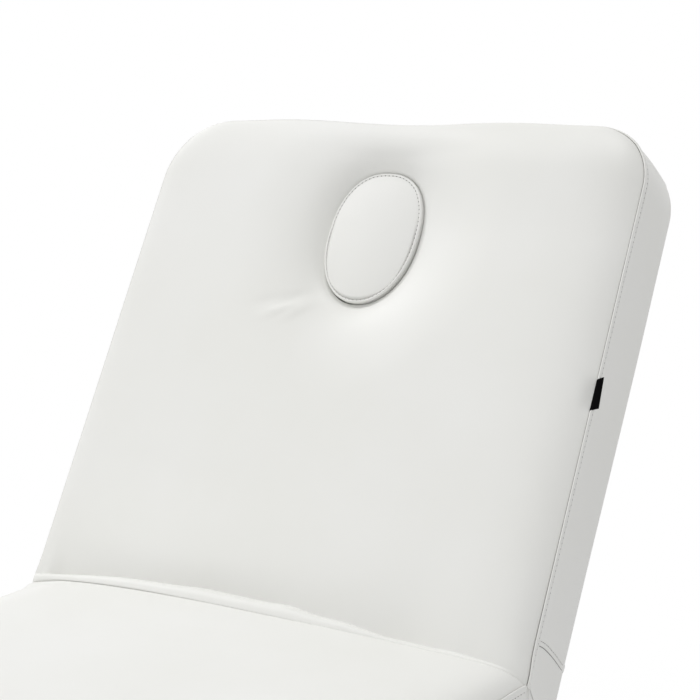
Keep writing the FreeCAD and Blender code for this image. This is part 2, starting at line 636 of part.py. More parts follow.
# Boards: plywood inside the cover's skirt, round at the head and the foot
board_half = f"(bed_width / 2 - side_draw - {MARGIN})"
board_start = f"(hinge_relief + {MARGIN} + past)"


def board(label, low, high, round_end):
    outline = [(f"0 - {board_half}", low), (board_half, low), (board_half, high), (f"0 - {board_half}", high)]
    body = sketched(f"{label}_plain", "XY_Plane", outline, "board_depth")
    if round_end:
        rounded(body, "corner_radius", lambda point: abs(point.y - number(round_end)) < 1)
    return body


def oval(name, inset, low, high):
    """An upright oval prism at the face hole."""
    ring = doc.addObject("Part::Ellipse", name + "_ring")
    ring.setExpression("MajorRadius", formula(f"plug_length / 2 + {inset}"))
    ring.setExpression("MinorRadius", formula(f"plug_width / 2 + {inset}"))
    ring.Placement = Placement(Vector(), Rotation(Vector(0, 0, 1), 90))
    place(ring, "0", PLUG_Y, low)
    prism = doc.addObject("Part::Extrusion", name)
    prism.Base = ring
    prism.DirMode = "Custom"
    prism.Dir = Vector(0, 0, 1)
    prism.Solid = True
    prism.setExpression("LengthFwd", formula(f"({high}) - ({low})"))
    return prism


seat_front = f"(0 - seat_length + {board_start})"
node("seat_board", [board("seat_board", seat_front, f"0 - {board_start}", None)], SEAT)
leg_end = f"(0 - leg_length + {MARGIN})"
node("leg_board", [board("leg_board", leg_end, f"0 - {board_start}", leg_end)], LEG)
back_end = f"({BACK_END} - {MARGIN})"
plain = board("back_board", board_start, back_end, back_end)
hole = oval("back_board_hole", "(0 - plug_ledge)", "0 - past", "board_depth + past")
node("back_board", [cut("back_board_cut", plain, hole)], BACK)


# Cushions: lofted padded forms with crown and drawn-in sides; the cover is a shell round the foam
def slope(text, lean):
    """The end of a section as a line y = start + lean * z."""
    start = number(text)
    return lambda z: start + lean * z


def oval_wire(inset, z):
    middle = Vector(0, number(PLUG_Y), z)
    long_end = middle + Vector(0, number("plug_length") / 2 + inset, 0)
    short_end = middle + Vector(number("plug_width") / 2 + inset, 0, 0)
    return Part.Wire([Part.Ellipse(long_end, short_end, middle).toShape()])


def padded(inset, low, high, crowns, corner_end, axes, holed):
    """A padded form, pulled in by an inset on every side."""
    half = number("bed_width / 2") - inset
    seam = number("section_depth") - inset
    floor = 0 if inset == 0 else -number("past")
    draw = number("side_draw")
    middle = (floor + seam) / 2
    wires = []
    for index, crown in enumerate(crowns):
        share = index / (len(crowns) - 1)

        def at(x, z):
            return Vector(x, low(z) + share * (high(z) - low(z)), z)

        wires.append(Part.Wire([
            Part.makeLine(at(-half, floor), at(half, floor)),
            Part.Arc(at(half, floor), at(half - draw, middle), at(half, seam)).toShape(),
            Part.Arc(at(half, seam), at(0, seam + crown), at(-half, seam)).toShape(),
            Part.Arc(at(-half, seam), at(-half + draw, middle), at(-half, floor)).toShape(),
        ]))
    form = Part.makeLoft(wires, True, False)
    tall = number("section_depth + crown_height + 4 * past")
    bottom = -2 * number("past")
    if corner_end is not None:
        radius = number("corner_radius") - inset
        end = corner_end(0)
        sign = 1 if end > 0 else -1
        reach = number("corner_radius - corner_relief")
        for side in (1, -1):
            across = side * (number("bed_width / 2") - reach)
            centre = Vector(across, end + sign * (inset - reach), bottom)
            far = centre + Vector(side * 2 * reach, sign * 2 * reach, 0)
            corner = Vector(min(centre.x, far.x), min(centre.y, far.y), bottom)
            square = Part.makeBox(2 * reach, 2 * reach, tall, corner)
            form = form.cut(square.cut(Part.makeCylinder(radius, tall, centre)))
    for axis in axes:
        start = Vector(-2 * half, axis, 0)
        form = form.cut(Part.makeCylinder(number("hinge_relief") + inset, 4 * half, start, Vector(1, 0, 0)))
    if holed:
        rim = number("section_depth - dimple_depth") - inset
        top = number("section_depth + crown_height + past") - inset
        margin = number("dimple_margin")
        rings = [oval_wire(margin, rim), oval_wire(margin + number("dimple_reach"), top)]
        bowl = Part.makeLoft(rings, True, True)
        shaft = Part.Face(oval_wire(number("plug_gap") + inset, bottom)).extrude(Vector(0, 0, tall))
        form = form.cut(bowl).cut(shaft)
    return form


def cushion(label, at, ends, crowns, corner_end, axes, holed):
    """Makes the foam and the cover of one section from the same padded form."""
    wall = number("cover_wall")
    core = number(MARGIN)
    forms = []
    for inset in (0, wall, core):
        low, high = ends(inset)
        end = None if corner_end is None else (low if corner_end < 0 else high)
        forms.append(padded(inset, low, high, crowns, end, axes, holed))
    cover = forms[0].cut(forms[1])
    wide = 4 * number("bed_width")
    deck = Part.makeBox(wide, wide, number("board_depth") + wide, Vector(-wide / 2, -wide / 2, -wide))
    foam = forms[2].cut(deck)
    if holed:
        ledge = Part.Face(oval_wire(number("plug_gap") + 2 * core, -number("past")))
        cover = cover.cut(ledge.extrude(Vector(0, 0, number("board_depth + past"))))
    for kind, shape in (("cover", cover), ("foam", foam)):
        piece = doc.addObject("Part::Feature", f"{label}_{kind}_form")
        piece.Shape = Part.Compound(shape.Solids)
        node(f"{label}_{kind}", [piece], at)


LEAN = number("tan(back_angle / 2)")
STEP = number("1 / cos(back_angle / 2)")
FULL = number("crown_height")
END = number("end_crown")


def back_ends(inset):
    gap = (number("crease_gap") + inset) * STEP
    return (lambda z: gap + LEAN * z), slope(f"{BACK_END} - {inset}", 0)


def seat_ends(inset):
    gap = (number("crease_gap") + inset) * STEP
    return slope(f"section_gap + {inset} - seat_length", 0), (lambda z: -gap - LEAN * z)


def leg_ends(inset):
    return slope(f"{inset} - leg_length", 0), slope(f"0 - section_gap - {inset}", 0)


cushion("seat", SEAT, seat_ends, (FULL, FULL, FULL), None, (0, -number("seat_length")), False)
cushion("leg", LEG, leg_ends, (END, FULL, FULL), -1, (0,), False)
cushion("back", BACK, back_ends, (FULL, FULL, END), 1, (0,), True)

# Side tab: a blank folded tape caught in the right side seam of the backrest
tab_x = ("bed_width / 2 + soft_gap", "bed_width / 2 + soft_gap + tag_thickness")
tab_y = (f"{CREASE} + tag_centre - tag_length / 2", f"{CREASE} + tag_centre + tag_length / 2")
node("side_tab", [block("tab", tab_x, tab_y, ("section_depth - tag_drop", "section_depth"))], BACK)

# Face plug: a domed oval cushion that drops into the hole and rests on the board
plug_edge = "(section_depth - dimple_depth + plug_proud)"
dome = "((plug_length * plug_length / 4 + plug_crown * plug_crown) / (2 * plug_crown))"


def plug_form(name, inset, low):
    """The plug pulled in by an inset, cut to its dome."""
    prism = oval(name + "_prism", f"(0 - {inset})", low, f"{plug_edge} + plug_crown + past")
    ball = doc.addObject("Part::Sphere", name + "_ball")
    ball.setExpression("Radius", formula(f"{dome} - {inset}"))
    place(ball, "0", PLUG_Y, f"{plug_edge} + plug_crown - {dome}")
    form = doc.addObject("Part::Common", name)
    form.Base = prism
    form.Tool = ball
    return form


outside = plug_form("plug_outside", "0", "board_depth")
inside = plug_form("plug_inside", "cover_wall", "board_depth - past")
node("plug_cover", [cut("plug_shell", outside, inside)], BACK)
node("plug_core", [plug_form("plug_filling", MARGIN, "board_depth")], BACK)

# Control box on the rear cross tube, with a bare mains inlet
box_y = f"({base_rear} - rail_width / 2)"
half_x = "(control_width / 2)"
half_y = "(control_depth / 2)"
trim_x = "(control_width / 2 - control_chamfer)"
trim_y = "(control_depth / 2 - control_chamfer)"
ring = [("0 - " + half_x, f"{box_y} - {trim_y}"), ("0 - " + trim_x, f"{box_y} - {half_y}")]
ring += [(trim_x, f"{box_y} - {half_y}"), (half_x, f"{box_y} - {trim_y}"), (half_x, f"{box_y} + {trim_y}")]
ring += [(trim_x, f"{box_y} + {half_y}"), ("0 - " + trim_x, f"{box_y} + {half_y}")]
ring += [("0 - " + half_x, f"{box_y} + {trim_y}")]
node("control_box", [sketched("control_case", "XY_Plane", ring, "control_height", RAIL_TOP)], BASE)
inlet_x = both("inlet_width / 2")
inlet_y = (f"{box_y} + {half_y}", f"{box_y} + {half_y} + inlet_depth")
inlet_low = f"({RAIL_TOP} + (control_height - inlet_height) / 2)"
inlet = block("inlet_body", inlet_x, inlet_y, (inlet_low, f"{inlet_low} + inlet_height"))
mouth = block(
    "inlet_mouth",
    both("(inlet_width / 2 - inlet_wall)"),
    (f"{inlet_y[0]} + inlet_wall / 2", f"{inlet_y[1]} + past"),
    (f"{inlet_low} + inlet_wall", f"{inlet_low} + inlet_height - inlet_wall"),
)
node("mains_inlet", [cut("inlet", inlet, mouth)], BASE)

# Handset holder on the left rail, and the handset that pulls straight off it
holder_far = "(0 - holder_start - holder_width)"
holder_y = (holder_far, "0 - holder_start")
dock = f"({RAIL_OUT} + holder_wall)"
ledge_z = "(0 - holder_height)"
back_plate = block("holder_back", (f"0 - {dock}", f"0 - {RAIL_OUT}"), holder_y, (ledge_z, "0 - holder_wall"))
ledge = block(
    "holder_ledge",
    (f"0 - {dock} - remote_thickness + holder_wall", f"0 - {dock} + holder_wall / 2"),
    holder_y,
    (ledge_z, f"{ledge_z} + holder_wall"),
)
node("handset_holder", [join("holder", [back_plate, ledge])], SEAT)
mid_y = "(0 - holder_start - holder_width / 2)"
low_z = f"({ledge_z} + holder_wall + soft_gap)"
ring = []
for u, v in (
    ("- remote_width / 2", "remote_chamfer"),
    ("- remote_width / 2 + remote_chamfer", "0"),
    ("+ remote_width / 2 - remote_chamfer", "0"),
    ("+ remote_width / 2", "remote_chamfer"),
    ("+ remote_width / 2", "remote_height - remote_chamfer"),
    ("+ remote_width / 2 - remote_chamfer", "remote_height"),
    ("- remote_width / 2 + remote_chamfer", "remote_height"),
    ("- remote_width / 2", "remote_height - remote_chamfer"),
):
    ring.append((f"{mid_y} {u}", f"{low_z} + {v}"))
face_x = f"(0 - {dock} - soft_gap - remote_thickness)"
shell = sketched("handset_blank", "YZ_Plane", ring, "remote_thickness", face_x)
tools = []
keys = []
for index, name in enumerate(("height", "leg", "back"), start=1):
    key_z = f"({low_z} + remote_height / 2 + (key_pitch * ({index} - 2)))"
    grow_y = "(key_width / 2 + key_gap)"
    grow_z = "(key_height / 2 + key_gap)"
    recess_y = (f"{mid_y} - {grow_y}", f"{mid_y} + {grow_y}")
    recess_z = (f"{key_z} - {grow_z}", f"{key_z} + {grow_z}")
    tools.append(block(f"{name}_recess", (f"{face_x} - past", f"{face_x} + key_recess"), recess_y, recess_z))
    axis_x = f"({face_x} - key_proud + key_thickness)"
    arm_half = f"(key_width / 2 + key_gap + key_pin_reach)"
    socket = (f"{mid_y} - {arm_half} - soft_gap", f"{mid_y} + {arm_half} + soft_gap")
    tools.append(rod(f"{name}_socket", "y", "key_pin_radius + pin_gap", socket, axis_x, key_z))
    key_x = (f"{face_x} - key_proud", f"{face_x} - key_proud + key_thickness")
    key_y = (f"{mid_y} - key_width / 2", f"{mid_y} + key_width / 2")
    cap = block(f"{name}_cap", key_x, key_y, (f"{key_z} - key_height / 2", f"{key_z} + key_height / 2"))
    axle = (f"{mid_y} - {arm_half}", f"{mid_y} + {arm_half}")
    pivot = rod(f"{name}_pivot", "y", "key_pin_radius", axle, axis_x, key_z)
    keys.append((name, join(f"{name}_whole", [cap, pivot])))
node("handset_shell", [cut("handset", shell, *tools)], SEAT)
for name, key in keys:
    node(f"{name}_key", [key], SEAT)

doc.recompute()
for piece in doc.Objects:
    bad = [state for state in piece.State if state in ("Invalid", "Error")]
    if bad:
        raise RuntimeError(f"{piece.Name} did not build: {piece.State}")
for whole in nodes:
    if whole.Shape.isNull() or not whole.Shape.isValid() or not whole.Shape.Solids:
        raise RuntimeError(f"{whole.Label} has no sound solid")
os.makedirs("parts", exist_ok=True)
for whole in nodes:
    whole.Shape.exportStep(f"parts/{whole.Label}.step")
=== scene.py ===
import json
import math
import bmesh
import bpy
from mathutils import Matrix, Vector, noise
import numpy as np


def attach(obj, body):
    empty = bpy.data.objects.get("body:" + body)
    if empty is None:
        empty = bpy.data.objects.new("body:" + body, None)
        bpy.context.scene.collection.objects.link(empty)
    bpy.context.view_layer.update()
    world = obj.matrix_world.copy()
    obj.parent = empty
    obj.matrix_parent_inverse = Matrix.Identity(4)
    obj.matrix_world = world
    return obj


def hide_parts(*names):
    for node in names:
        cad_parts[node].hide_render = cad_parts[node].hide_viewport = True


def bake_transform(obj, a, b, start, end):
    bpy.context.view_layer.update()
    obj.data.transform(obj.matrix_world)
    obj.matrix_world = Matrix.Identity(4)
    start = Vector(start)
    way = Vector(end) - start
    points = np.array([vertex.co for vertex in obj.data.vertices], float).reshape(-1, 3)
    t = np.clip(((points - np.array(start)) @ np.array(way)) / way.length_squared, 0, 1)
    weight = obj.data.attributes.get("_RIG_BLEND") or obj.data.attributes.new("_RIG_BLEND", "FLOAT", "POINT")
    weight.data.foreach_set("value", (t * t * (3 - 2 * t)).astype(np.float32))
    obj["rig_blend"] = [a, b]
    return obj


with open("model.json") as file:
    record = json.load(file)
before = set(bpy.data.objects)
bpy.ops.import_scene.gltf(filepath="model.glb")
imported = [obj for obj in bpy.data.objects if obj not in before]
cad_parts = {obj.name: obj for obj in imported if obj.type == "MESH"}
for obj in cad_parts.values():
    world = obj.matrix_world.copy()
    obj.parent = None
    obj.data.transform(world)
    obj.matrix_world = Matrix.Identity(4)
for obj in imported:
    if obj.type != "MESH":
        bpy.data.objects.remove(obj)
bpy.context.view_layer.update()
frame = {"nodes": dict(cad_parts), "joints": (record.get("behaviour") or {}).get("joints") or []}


# Welded steel frame: base rails, lift arms, seat rails, backrest and leg rest frames.
# Square tube and plate, welded and coated with white powder that bakes to a fine
# orange peel, slightly uneven in tone and gloss.
def new_finish(name, colour, roughness, metallic=0.0):
    finish = bpy.data.materials.new(name)
    finish.use_nodes = True
    tree = finish.node_tree
    shader = tree.nodes["Principled BSDF"]
    shader.inputs["Base Color"].default_value = (*colour, 1)
    shader.inputs["Roughness"].default_value = roughness
    shader.inputs["Metallic"].default_value = metallic
    return finish, tree, shader


def object_place(tree, stretch=(1, 1, 1), turn=(0, 0, 0)):
    where = tree.nodes.new("ShaderNodeTexCoord")
    turned = tree.nodes.new("ShaderNodeMapping")
    turned.inputs["Rotation"].default_value = turn
    tree.links.new(where.outputs["Object"], turned.inputs["Vector"])
    stretched = tree.nodes.new("ShaderNodeMapping")
    stretched.inputs["Scale"].default_value = stretch
    tree.links.new(turned.outputs["Vector"], stretched.inputs["Vector"])
    return stretched.outputs["Vector"]


def speckle(tree, vector, scale, detail=3.0):
    texture = tree.nodes.new("ShaderNodeTexNoise")
    texture.inputs["Scale"].default_value = scale
    texture.inputs["Detail"].default_value = detail
    tree.links.new(vector, texture.inputs["Vector"])
    return texture.outputs["Fac"]


def tones(tree, amount, *stops):
    ramp = tree.nodes.new("ShaderNodeValToRGB")
    places = ramp.color_ramp.elements
    while len(places) < len(stops):
        places.new(0.5)
    for place, (position, colour) in zip(places, stops):
        place.position = position
        place.color = (*colour, 1)
    tree.links.new(amount, ramp.inputs["Fac"])
    return ramp.outputs["Color"]


def tint(tree, shader, amount, *stops):
    tree.links.new(tones(tree, amount, *stops), shader.inputs["Base Color"])


def relief(tree, shader, height, strength, depth):
    bump = tree.nodes.new("ShaderNodeBump")
    bump.inputs["Strength"].default_value = strength
    bump.inputs["Distance"].default_value = depth
    tree.links.new(height, bump.inputs["Height"])
    tree.links.new(bump.outputs["Normal"], shader.inputs["Normal"])


def gloss(tree, shader, amount, low, high):
    spread = tree.nodes.new("ShaderNodeMapRange")
    spread.inputs["To Min"].default_value = low
    spread.inputs["To Max"].default_value = high
    tree.links.new(amount, spread.inputs["Value"])
    tree.links.new(spread.outputs["Result"], shader.inputs["Roughness"])


def dress(finish, *names):
    for name in names:
        for place in frame["nodes"][name].material_slots:
            place.material = finish


powder_coat, tree, shader = new_finish("white_powder_coat", (0.74, 0.745, 0.745), 0.36)
space = object_place(tree)
cloudy = speckle(tree, space, 7.0, 4.0)
tint(tree, shader, cloudy, (0.3, (0.70, 0.70, 0.69)), (0.7, (0.78, 0.785, 0.785)))
gloss(tree, shader, cloudy, 0.30, 0.44)
relief(tree, shader, speckle(tree, space, 420.0, 2.0), 0.10, 0.0002)
dress(powder_coat,
      "base_side_rails", "base_cross_tubes", "lower_pivot_plates", "lift_actuator_posts",
      "rear_lift_arms", "rear_torque_tube", "lift_lever_plates", "front_lift_arms",
      "front_torque_tube", "seat_side_rails", "seat_cross_tubes", "upper_pivot_plates",
      "seat_hinge_lugs", "actuator_brackets",
      "back_side_rails", "back_cross_tubes", "back_lever_plates",
      "leg_side_rails", "leg_cross_tubes", "leg_lever_plates")

# Pins of the pivots and hinges: turned steel, zinc plated, pressed into the plates.
# The fine turning lines run round each pin, so the grain is stretched across it.
plated, tree, shader = new_finish("zinc_plated_pins", (0.58, 0.585, 0.58), 0.32, 1.0)
turned = speckle(tree, object_place(tree, (2400, 60, 60)), 1.0, 2.0)
tint(tree, shader, turned, (0.3, (0.48, 0.485, 0.48)), (0.7, (0.66, 0.665, 0.65)))
gloss(tree, shader, turned, 0.24, 0.42)
relief(tree, shader, turned, 0.12, 0.0001)
dress(plated, "lower_pivot_pins", "upper_pivot_pins", "hinge_pins")

# Bushes in the arm eyes: dark polymer sleeves that run dry on the pins.
# A slightly waxy, mottled grey with no grain.
sleeve, tree, shader = new_finish("dry_running_bush", (0.11, 0.11, 0.112), 0.55)
waxy = speckle(tree, object_place(tree), 160.0, 3.0)
tint(tree, shader, waxy, (0.3, (0.09, 0.09, 0.09)), (0.7, (0.135, 0.135, 0.14)))
relief(tree, shader, waxy, 0.08, 0.0002)
dress(sleeve, "rear_arm_bushes", "front_arm_bushes")

# Moulded black parts: rubber feet, push-in end caps, gear housings, control box and handset.
# The rubber is dull and dusty; the plastic parts are injection moulded with a fine spark
# texture, and are pressed or screwed on the frame.
foot_rubber, tree, shader = new_finish("foot_rubber", (0.03, 0.03, 0.03), 0.8)
dusty = speckle(tree, object_place(tree), 90.0, 5.0)
tint(tree, shader, dusty, (0.35, (0.022, 0.022, 0.022)), (0.75, (0.055, 0.054, 0.052)))
relief(tree, shader, dusty, 0.3, 0.0005)
dress(foot_rubber, "rubber_feet")

spark_plastic, tree, shader = new_finish("spark_textured_plastic", (0.03, 0.03, 0.032), 0.5)
space = object_place(tree)
spark = speckle(tree, space, 1700.0, 2.0)
blotch = speckle(tree, space, 24.0, 3.0)
tint(tree, shader, blotch, (0.3, (0.024, 0.024, 0.026)), (0.7, (0.038, 0.038, 0.041)))
gloss(tree, shader, blotch, 0.42, 0.58)
relief(tree, shader, spark, 0.35, 0.00025)
dress(spark_plastic, "base_end_caps", "seat_rail_caps", "control_box", "mains_inlet",
      "lift_gear_housing", "back_gear_housing", "leg_gear_housing",
      "handset_holder", "handset_shell")

# Drives: lacquered motor cans, satin tubes and polished rods.
# The tube is drawn and anodised along its length, the rod is ground round and chromed.
lacquer, tree, shader = new_finish("black_lacquer", (0.04, 0.04, 0.043), 0.3)
space = object_place(tree)
film = speckle(tree, space, 45.0, 4.0)
tint(tree, shader, film, (0.3, (0.032, 0.032, 0.035)), (0.7, (0.052, 0.052, 0.056)))
gloss(tree, shader, film, 0.22, 0.38)
relief(tree, shader, speckle(tree, space, 600.0, 2.0), 0.1, 0.0002)
shader.inputs["Coat Weight"].default_value = 0.3
dress(lacquer, "lift_motor", "back_motor", "leg_motor")

anodised, tree, shader = new_finish("satin_anodised_tube", (0.68, 0.68, 0.69), 0.34, 1.0)
drawn = speckle(tree, object_place(tree, (900, 12, 900)), 1.0, 2.0)
tint(tree, shader, drawn, (0.3, (0.60, 0.60, 0.61)), (0.7, (0.74, 0.74, 0.75)))
gloss(tree, shader, drawn, 0.28, 0.42)
relief(tree, shader, drawn, 0.08, 0.0001)
dress(anodised, "lift_outer_tube", "back_outer_tube", "leg_outer_tube")

ground_rod, tree, shader = new_finish("ground_chrome_rod", (0.74, 0.74, 0.75), 0.1, 1.0)
lines = speckle(tree, object_place(tree, (50, 2600, 50)), 1.0, 1.0)
tint(tree, shader, lines, (0.3, (0.70, 0.70, 0.71)), (0.7, (0.78, 0.78, 0.79)))
gloss(tree, shader, lines, 0.06, 0.16)
dress(ground_rod, "lift_rod", "back_rod", "leg_rod")

# Handset keys: plain rocker keys of soft-touch grey plastic, snapped into the handset.
# They are dull, with a faint bloom from fingers.
key_touch, tree, shader = new_finish("soft_touch_grey", (0.33, 0.34, 0.36), 0.6)
space = object_place(tree)
bloom = speckle(tree, space, 120.0, 4.0)
tint(tree, shader, bloom, (0.3, (0.29, 0.30, 0.32)), (0.7, (0.37, 0.38, 0.40)))
gloss(tree, shader, bloom, 0.5, 0.7)
relief(tree, shader, speckle(tree, space, 1500.0, 1.0), 0.15, 0.0002)
dress(key_touch, "height_key", "leg_key", "back_key")

# Boards under the cushions: bare birch plywood, screwed down on the frames.
# Long grain on the faces, and the plies show as stripes along the cut edges.
lean = math.radians(61)


def bands(tree, vector, direction, scale, distortion):
    wave = tree.nodes.new("ShaderNodeTexWave")
    wave.bands_direction = direction
    wave.inputs["Scale"].default_value = scale
    wave.inputs["Distortion"].default_value = distortion
    tree.links.new(vector, wave.inputs["Vector"])
    return wave.outputs["Fac"]


for board, turn in (("seat_board", 0.0), ("leg_board", 0.0), ("back_board", -lean)):
    plywood, tree, shader = new_finish(board + "_birch", (0.68, 0.52, 0.34), 0.6)
    grain = speckle(tree, object_place(tree, (90, 5, 90), (turn, 0, 0)), 1.0, 5.0)
    plies = bands(tree, object_place(tree, (1, 1, 105), (turn, 0, 0)), "Z", 1.0, 0.6)
    veneer = tones(tree, grain, (0.25, (0.56, 0.40, 0.24)), (0.5, (0.68, 0.52, 0.34)),
                   (0.8, (0.75, 0.60, 0.42)))
    stripe = tones(tree, plies, (0.2, (0.62, 0.58, 0.52)), (0.6, (1, 1, 1)))
    mix = tree.nodes.new("ShaderNodeMix")
    mix.data_type = "RGBA"
    mix.blend_type = "MULTIPLY"
    mix.inputs["Factor"].default_value = 0.7
    tree.links.new(veneer, mix.inputs["A"])
    tree.links.new(stripe, mix.inputs["B"])
    tree.links.new(mix.outputs["Result"], shader.inputs["Base Color"])
    gloss(tree, shader, grain, 0.5, 0.72)
    relief(tree, shader, grain, 0.2, 0.0004)
    dress(plywood, board)

# Seat and backrest upholstery: one cover of white coated fabric over foam on the boards.
# It is cut as face and side panels, sewn with a turned seam and topstitched, and runs
# through the crease over the hinge; round the face hole it is pulled down and glued in.
# Cushions: half the width, the thickness over the hinges, and the axes of the hinges
half = 0.310
depth = 0.086
axis, leg_axis = (Vector(joint["pos_m"]) for name in ("backrest_tilt", "leg_rest_fold")
                  for joint in frame["joints"] if joint["name"] == name)
# Fold: how far each cushion's end tips, half the width of the tuck, and the ways out of it
seat_tip = math.radians(32.5)
back_tip = lean - seat_tip
fold_half = 0.0008
fold_out = Vector((0, -math.sin(seat_tip), math.cos(seat_tip)))
fold_over = Vector((0, math.cos(seat_tip), math.sin(seat_tip)))
back_way = Vector((0, math.cos(lean), math.sin(lean)))
back_up = Vector((0, -math.sin(lean), math.cos(lean)))
seat_mouth = fold_half / math.cos(seat_tip)
back_mouth = fold_half / math.cos(back_tip)
# Along the cover from the crease: the roll, the head edge, the butt joint and the face hole
lip_rows = 0.010
lip_end = back_mouth + lip_rows
lip_zone = 0.06
mitre_reach = 0.15
head = 0.592
head_panel = 0.56
butt_gap = 0.002
seat_front = -(axis.y - leg_axis.y - butt_gap - depth * math.tan(seat_tip))
hole_along = head - 0.1393
hole_wide = 0.0589
hole_long = 0.0799
well_floor = -0.0705


def smooth(share):
    """A share held between 0 and 1 and eased at both ends."""
    share = min(1.0, max(0.0, share))
    return share * share * (3 - 2 * share)


def table(value, *pairs):
    """The height at a value of an eased line through pairs of value and height."""
    for (a, low), (b, high) in zip(pairs, pairs[1:]):
        if value <= b:
            return low + (high - low) * smooth((value - a) / (b - a))
    return pairs[-1][1]


def head_wave(x):
    """The sewn head edge runs a little wavy."""
    return table(x, (-0.25, 0), (-0.15, 0.003), (0.015, -0.003), (0.14, 0.0012),
                 (0.25, -0.0015))


def fold_swell(x, along, rise):
    """How far the squeezed ends of the fold swell out over the side seams."""
    swell = (0.0022 if x > 0 else 0.0015) * math.exp(-((along - 0.008) / 0.018) ** 2)
    swell *= min(1.0, abs(x) / half) ** 8
    swell *= math.exp(min(0.0, rise) / 0.02)
    return math.copysign(swell, x)


def on_bed(x, along, rise):
    """A point on seat or backrest: across, along from the crease, and over the seam plane.

    The wave of the head edge fades down the head panel, the seat's left corner is worn low,
    and in the fold the cover hangs between the two cushions.
    """
    if along > head_panel:
        along -= head_wave(x) * smooth(-rise / 0.05)
    worn = 0.0055 * smooth((-x - 0.25) / 0.05) * smooth((0.012 - along) / 0.03)
    height = depth + rise - worn * math.exp(min(0.0, rise) / 0.04)
    if -seat_mouth < along < back_mouth:
        over = fold_half * along / (back_mouth if along > 0 else seat_mouth)
        share = smooth(over / (2 * fold_half) + 0.5)
        plain = height * ((1 - share) / math.cos(seat_tip) + share / math.cos(back_tip))
        deep = plain
        for _ in range(4):
            swing = math.atan2(over, max(deep, 0.03))
            deep = math.cos(swing) * height / math.cos(seat_tip - swing - lean * share)
        edge = smooth((abs(x) - 0.285) / 0.025)
        least = 0.5 if x > 0 else 0.75
        open_share = least + (1 - least) * max(1 - edge, smooth(-rise / 0.04))
        spot = axis + fold_out * (plain + open_share * (deep - plain)) + fold_over * over
    elif along > 0:
        mitre = 1 - smooth((along - back_mouth) / mitre_reach)
        reach = math.tan(back_tip) * (depth + rise * mitre) + along
        spot = axis + back_way * reach + back_up * height
    else:
        mitre = 1 - smooth((-along - seat_mouth) / mitre_reach)
        reach = math.tan(seat_tip) * (depth + rise * mitre) - along
        spot = axis + Vector((0, -reach, height))
    return Vector((x + fold_swell(x, along, rise), spot.y, spot.z))


def across_crown(x):
    """Share of the crown across the bed: steep at the right seam, nearly level to the left."""
    left = 1 - math.exp(-max(0.0, half + x) / 0.007)
    slope = 0.35 + 0.65 * smooth((x + half) / 0.42)
    right = 1 - math.exp(-max(0.0, half - x) / 0.023)
    return left * slope * right


def crease_dome(x):
    """The seat's dome across the bed: a long slope to the left, full up to the right seam."""
    side = min(1.0, abs(x) / half)
    if x < 0:
        return (1 - side ** 2.6) ** 0.75
    return (1 - 0.22 * side ** 2) * (1 - side ** 20) ** 0.75


def lip_tall(x):
    """Height of the rolled lower edge of the backrest over its face."""
    return table(x, (-0.31, 0.002), (-0.27, 0.0038), (-0.18, 0.0056), (-0.05, 0.0058),
                 (0.06, 0.0050), (0.17, 0.0022), (0.25, 0.0004), (0.31, 0.0))


def lip_wide(x):
    """Width of the rolled lower edge, a little uneven."""
    width = table(x, (-0.31, 0.0110), (-0.27, 0.0150), (-0.18, 0.0210), (-0.05, 0.0245),
                  (0.03, 0.0235), (0.10, 0.0178), (0.17, 0.0108), (0.223, 0.0078), (0.31, 0.004))
    return width * (1 + 0.04 * noise.noise((x * 22, 3.1, 0)))


def back_proud(x):
    """How far the backrest's edge stands over the seat's in the crease."""
    return table(x, (-0.31, 0.0003), (-0.16, -0.0002), (-0.02, -0.0018), (0.10, -0.0028),
                 (0.22, -0.0055), (0.31, -0.0055))


def back_sag(x):
    """Depth of the hollow that the roll leaves in the face above it."""
    return 0.011 * table(x, (-0.31, 0.0), (-0.30, 0.35), (-0.27, 1.0), (0.0, 0.9), (0.06, 0.7),
                         (0.14, 0.8), (0.25, 0.2), (0.31, 0.0))


def round_off(distance, reach, power):
    """Share of the crown near an end seam, rounded off over the reach."""
    return (1 - (1 - min(1.0, max(0.0, distance) / reach)) ** 2) ** power


def bed_crown(x, along):
    """Height of the stuffed face over its seam plane."""
    near = 0.0236 * crease_dome(x)
    if along <= -seat_mouth:
        away = -along - seat_mouth
        level = 0.022 * (crease_dome(x) if x < 0 else (1 - (x / half) ** 20) ** 0.75)
        end = along - seat_front
    else:
        away = max(0.0, along - back_mouth)
        level = 0.0079 + 0.006 * smooth((x + 0.02) / 0.27) * smooth(away / 0.4)
        level *= 1 + 0.4 * smooth((along - 0.45) / 0.1)
        level = (level + 0.0161 * math.exp(-away / 0.25)) * across_crown(x)
        uneven = math.cos(back_tip) / math.cos(seat_tip) - 1
        step = uneven * (depth + near) + back_proud(x) - lip_tall(x)
        step *= 1 - math.exp(-max(0.0, half - abs(x)) / 0.02)
        if along < back_mouth:
            across_fold = smooth((along + seat_mouth) / (back_mouth + seat_mouth))
            return near + (step + lip_tall(x)) * across_fold
        near += step
        end = head - along
    crown = near + (level - near) * smooth(away / 0.16)
    crown *= round_off(end, 0.060, 0.7)
    if along >= back_mouth:
        hollow = back_sag(x) * min(1.0, away / lip_rows) ** 3
        crown -= hollow * math.exp(-max(0.0, along - lip_end) / 0.038)
    return crown


def rolled_lip(x, along):
    """The roll at the lower edge of the backrest: where a row of it lies, and its height."""
    width = lip_wide(x)
    slant = math.tan(back_tip)
    if along <= lip_end:
        part = (along - back_mouth) / (lip_end - back_mouth)
        tall = lip_tall(x) * (1 - part ** 3)
        lain = slant * (lip_tall(x) - tall) + (width - slant * lip_tall(x)) * part
        return back_mouth + lain, tall
    share = (along - lip_end) / (lip_zone - lip_end)
    return back_mouth + width + share * (lip_zone - back_mouth - width), 0.0


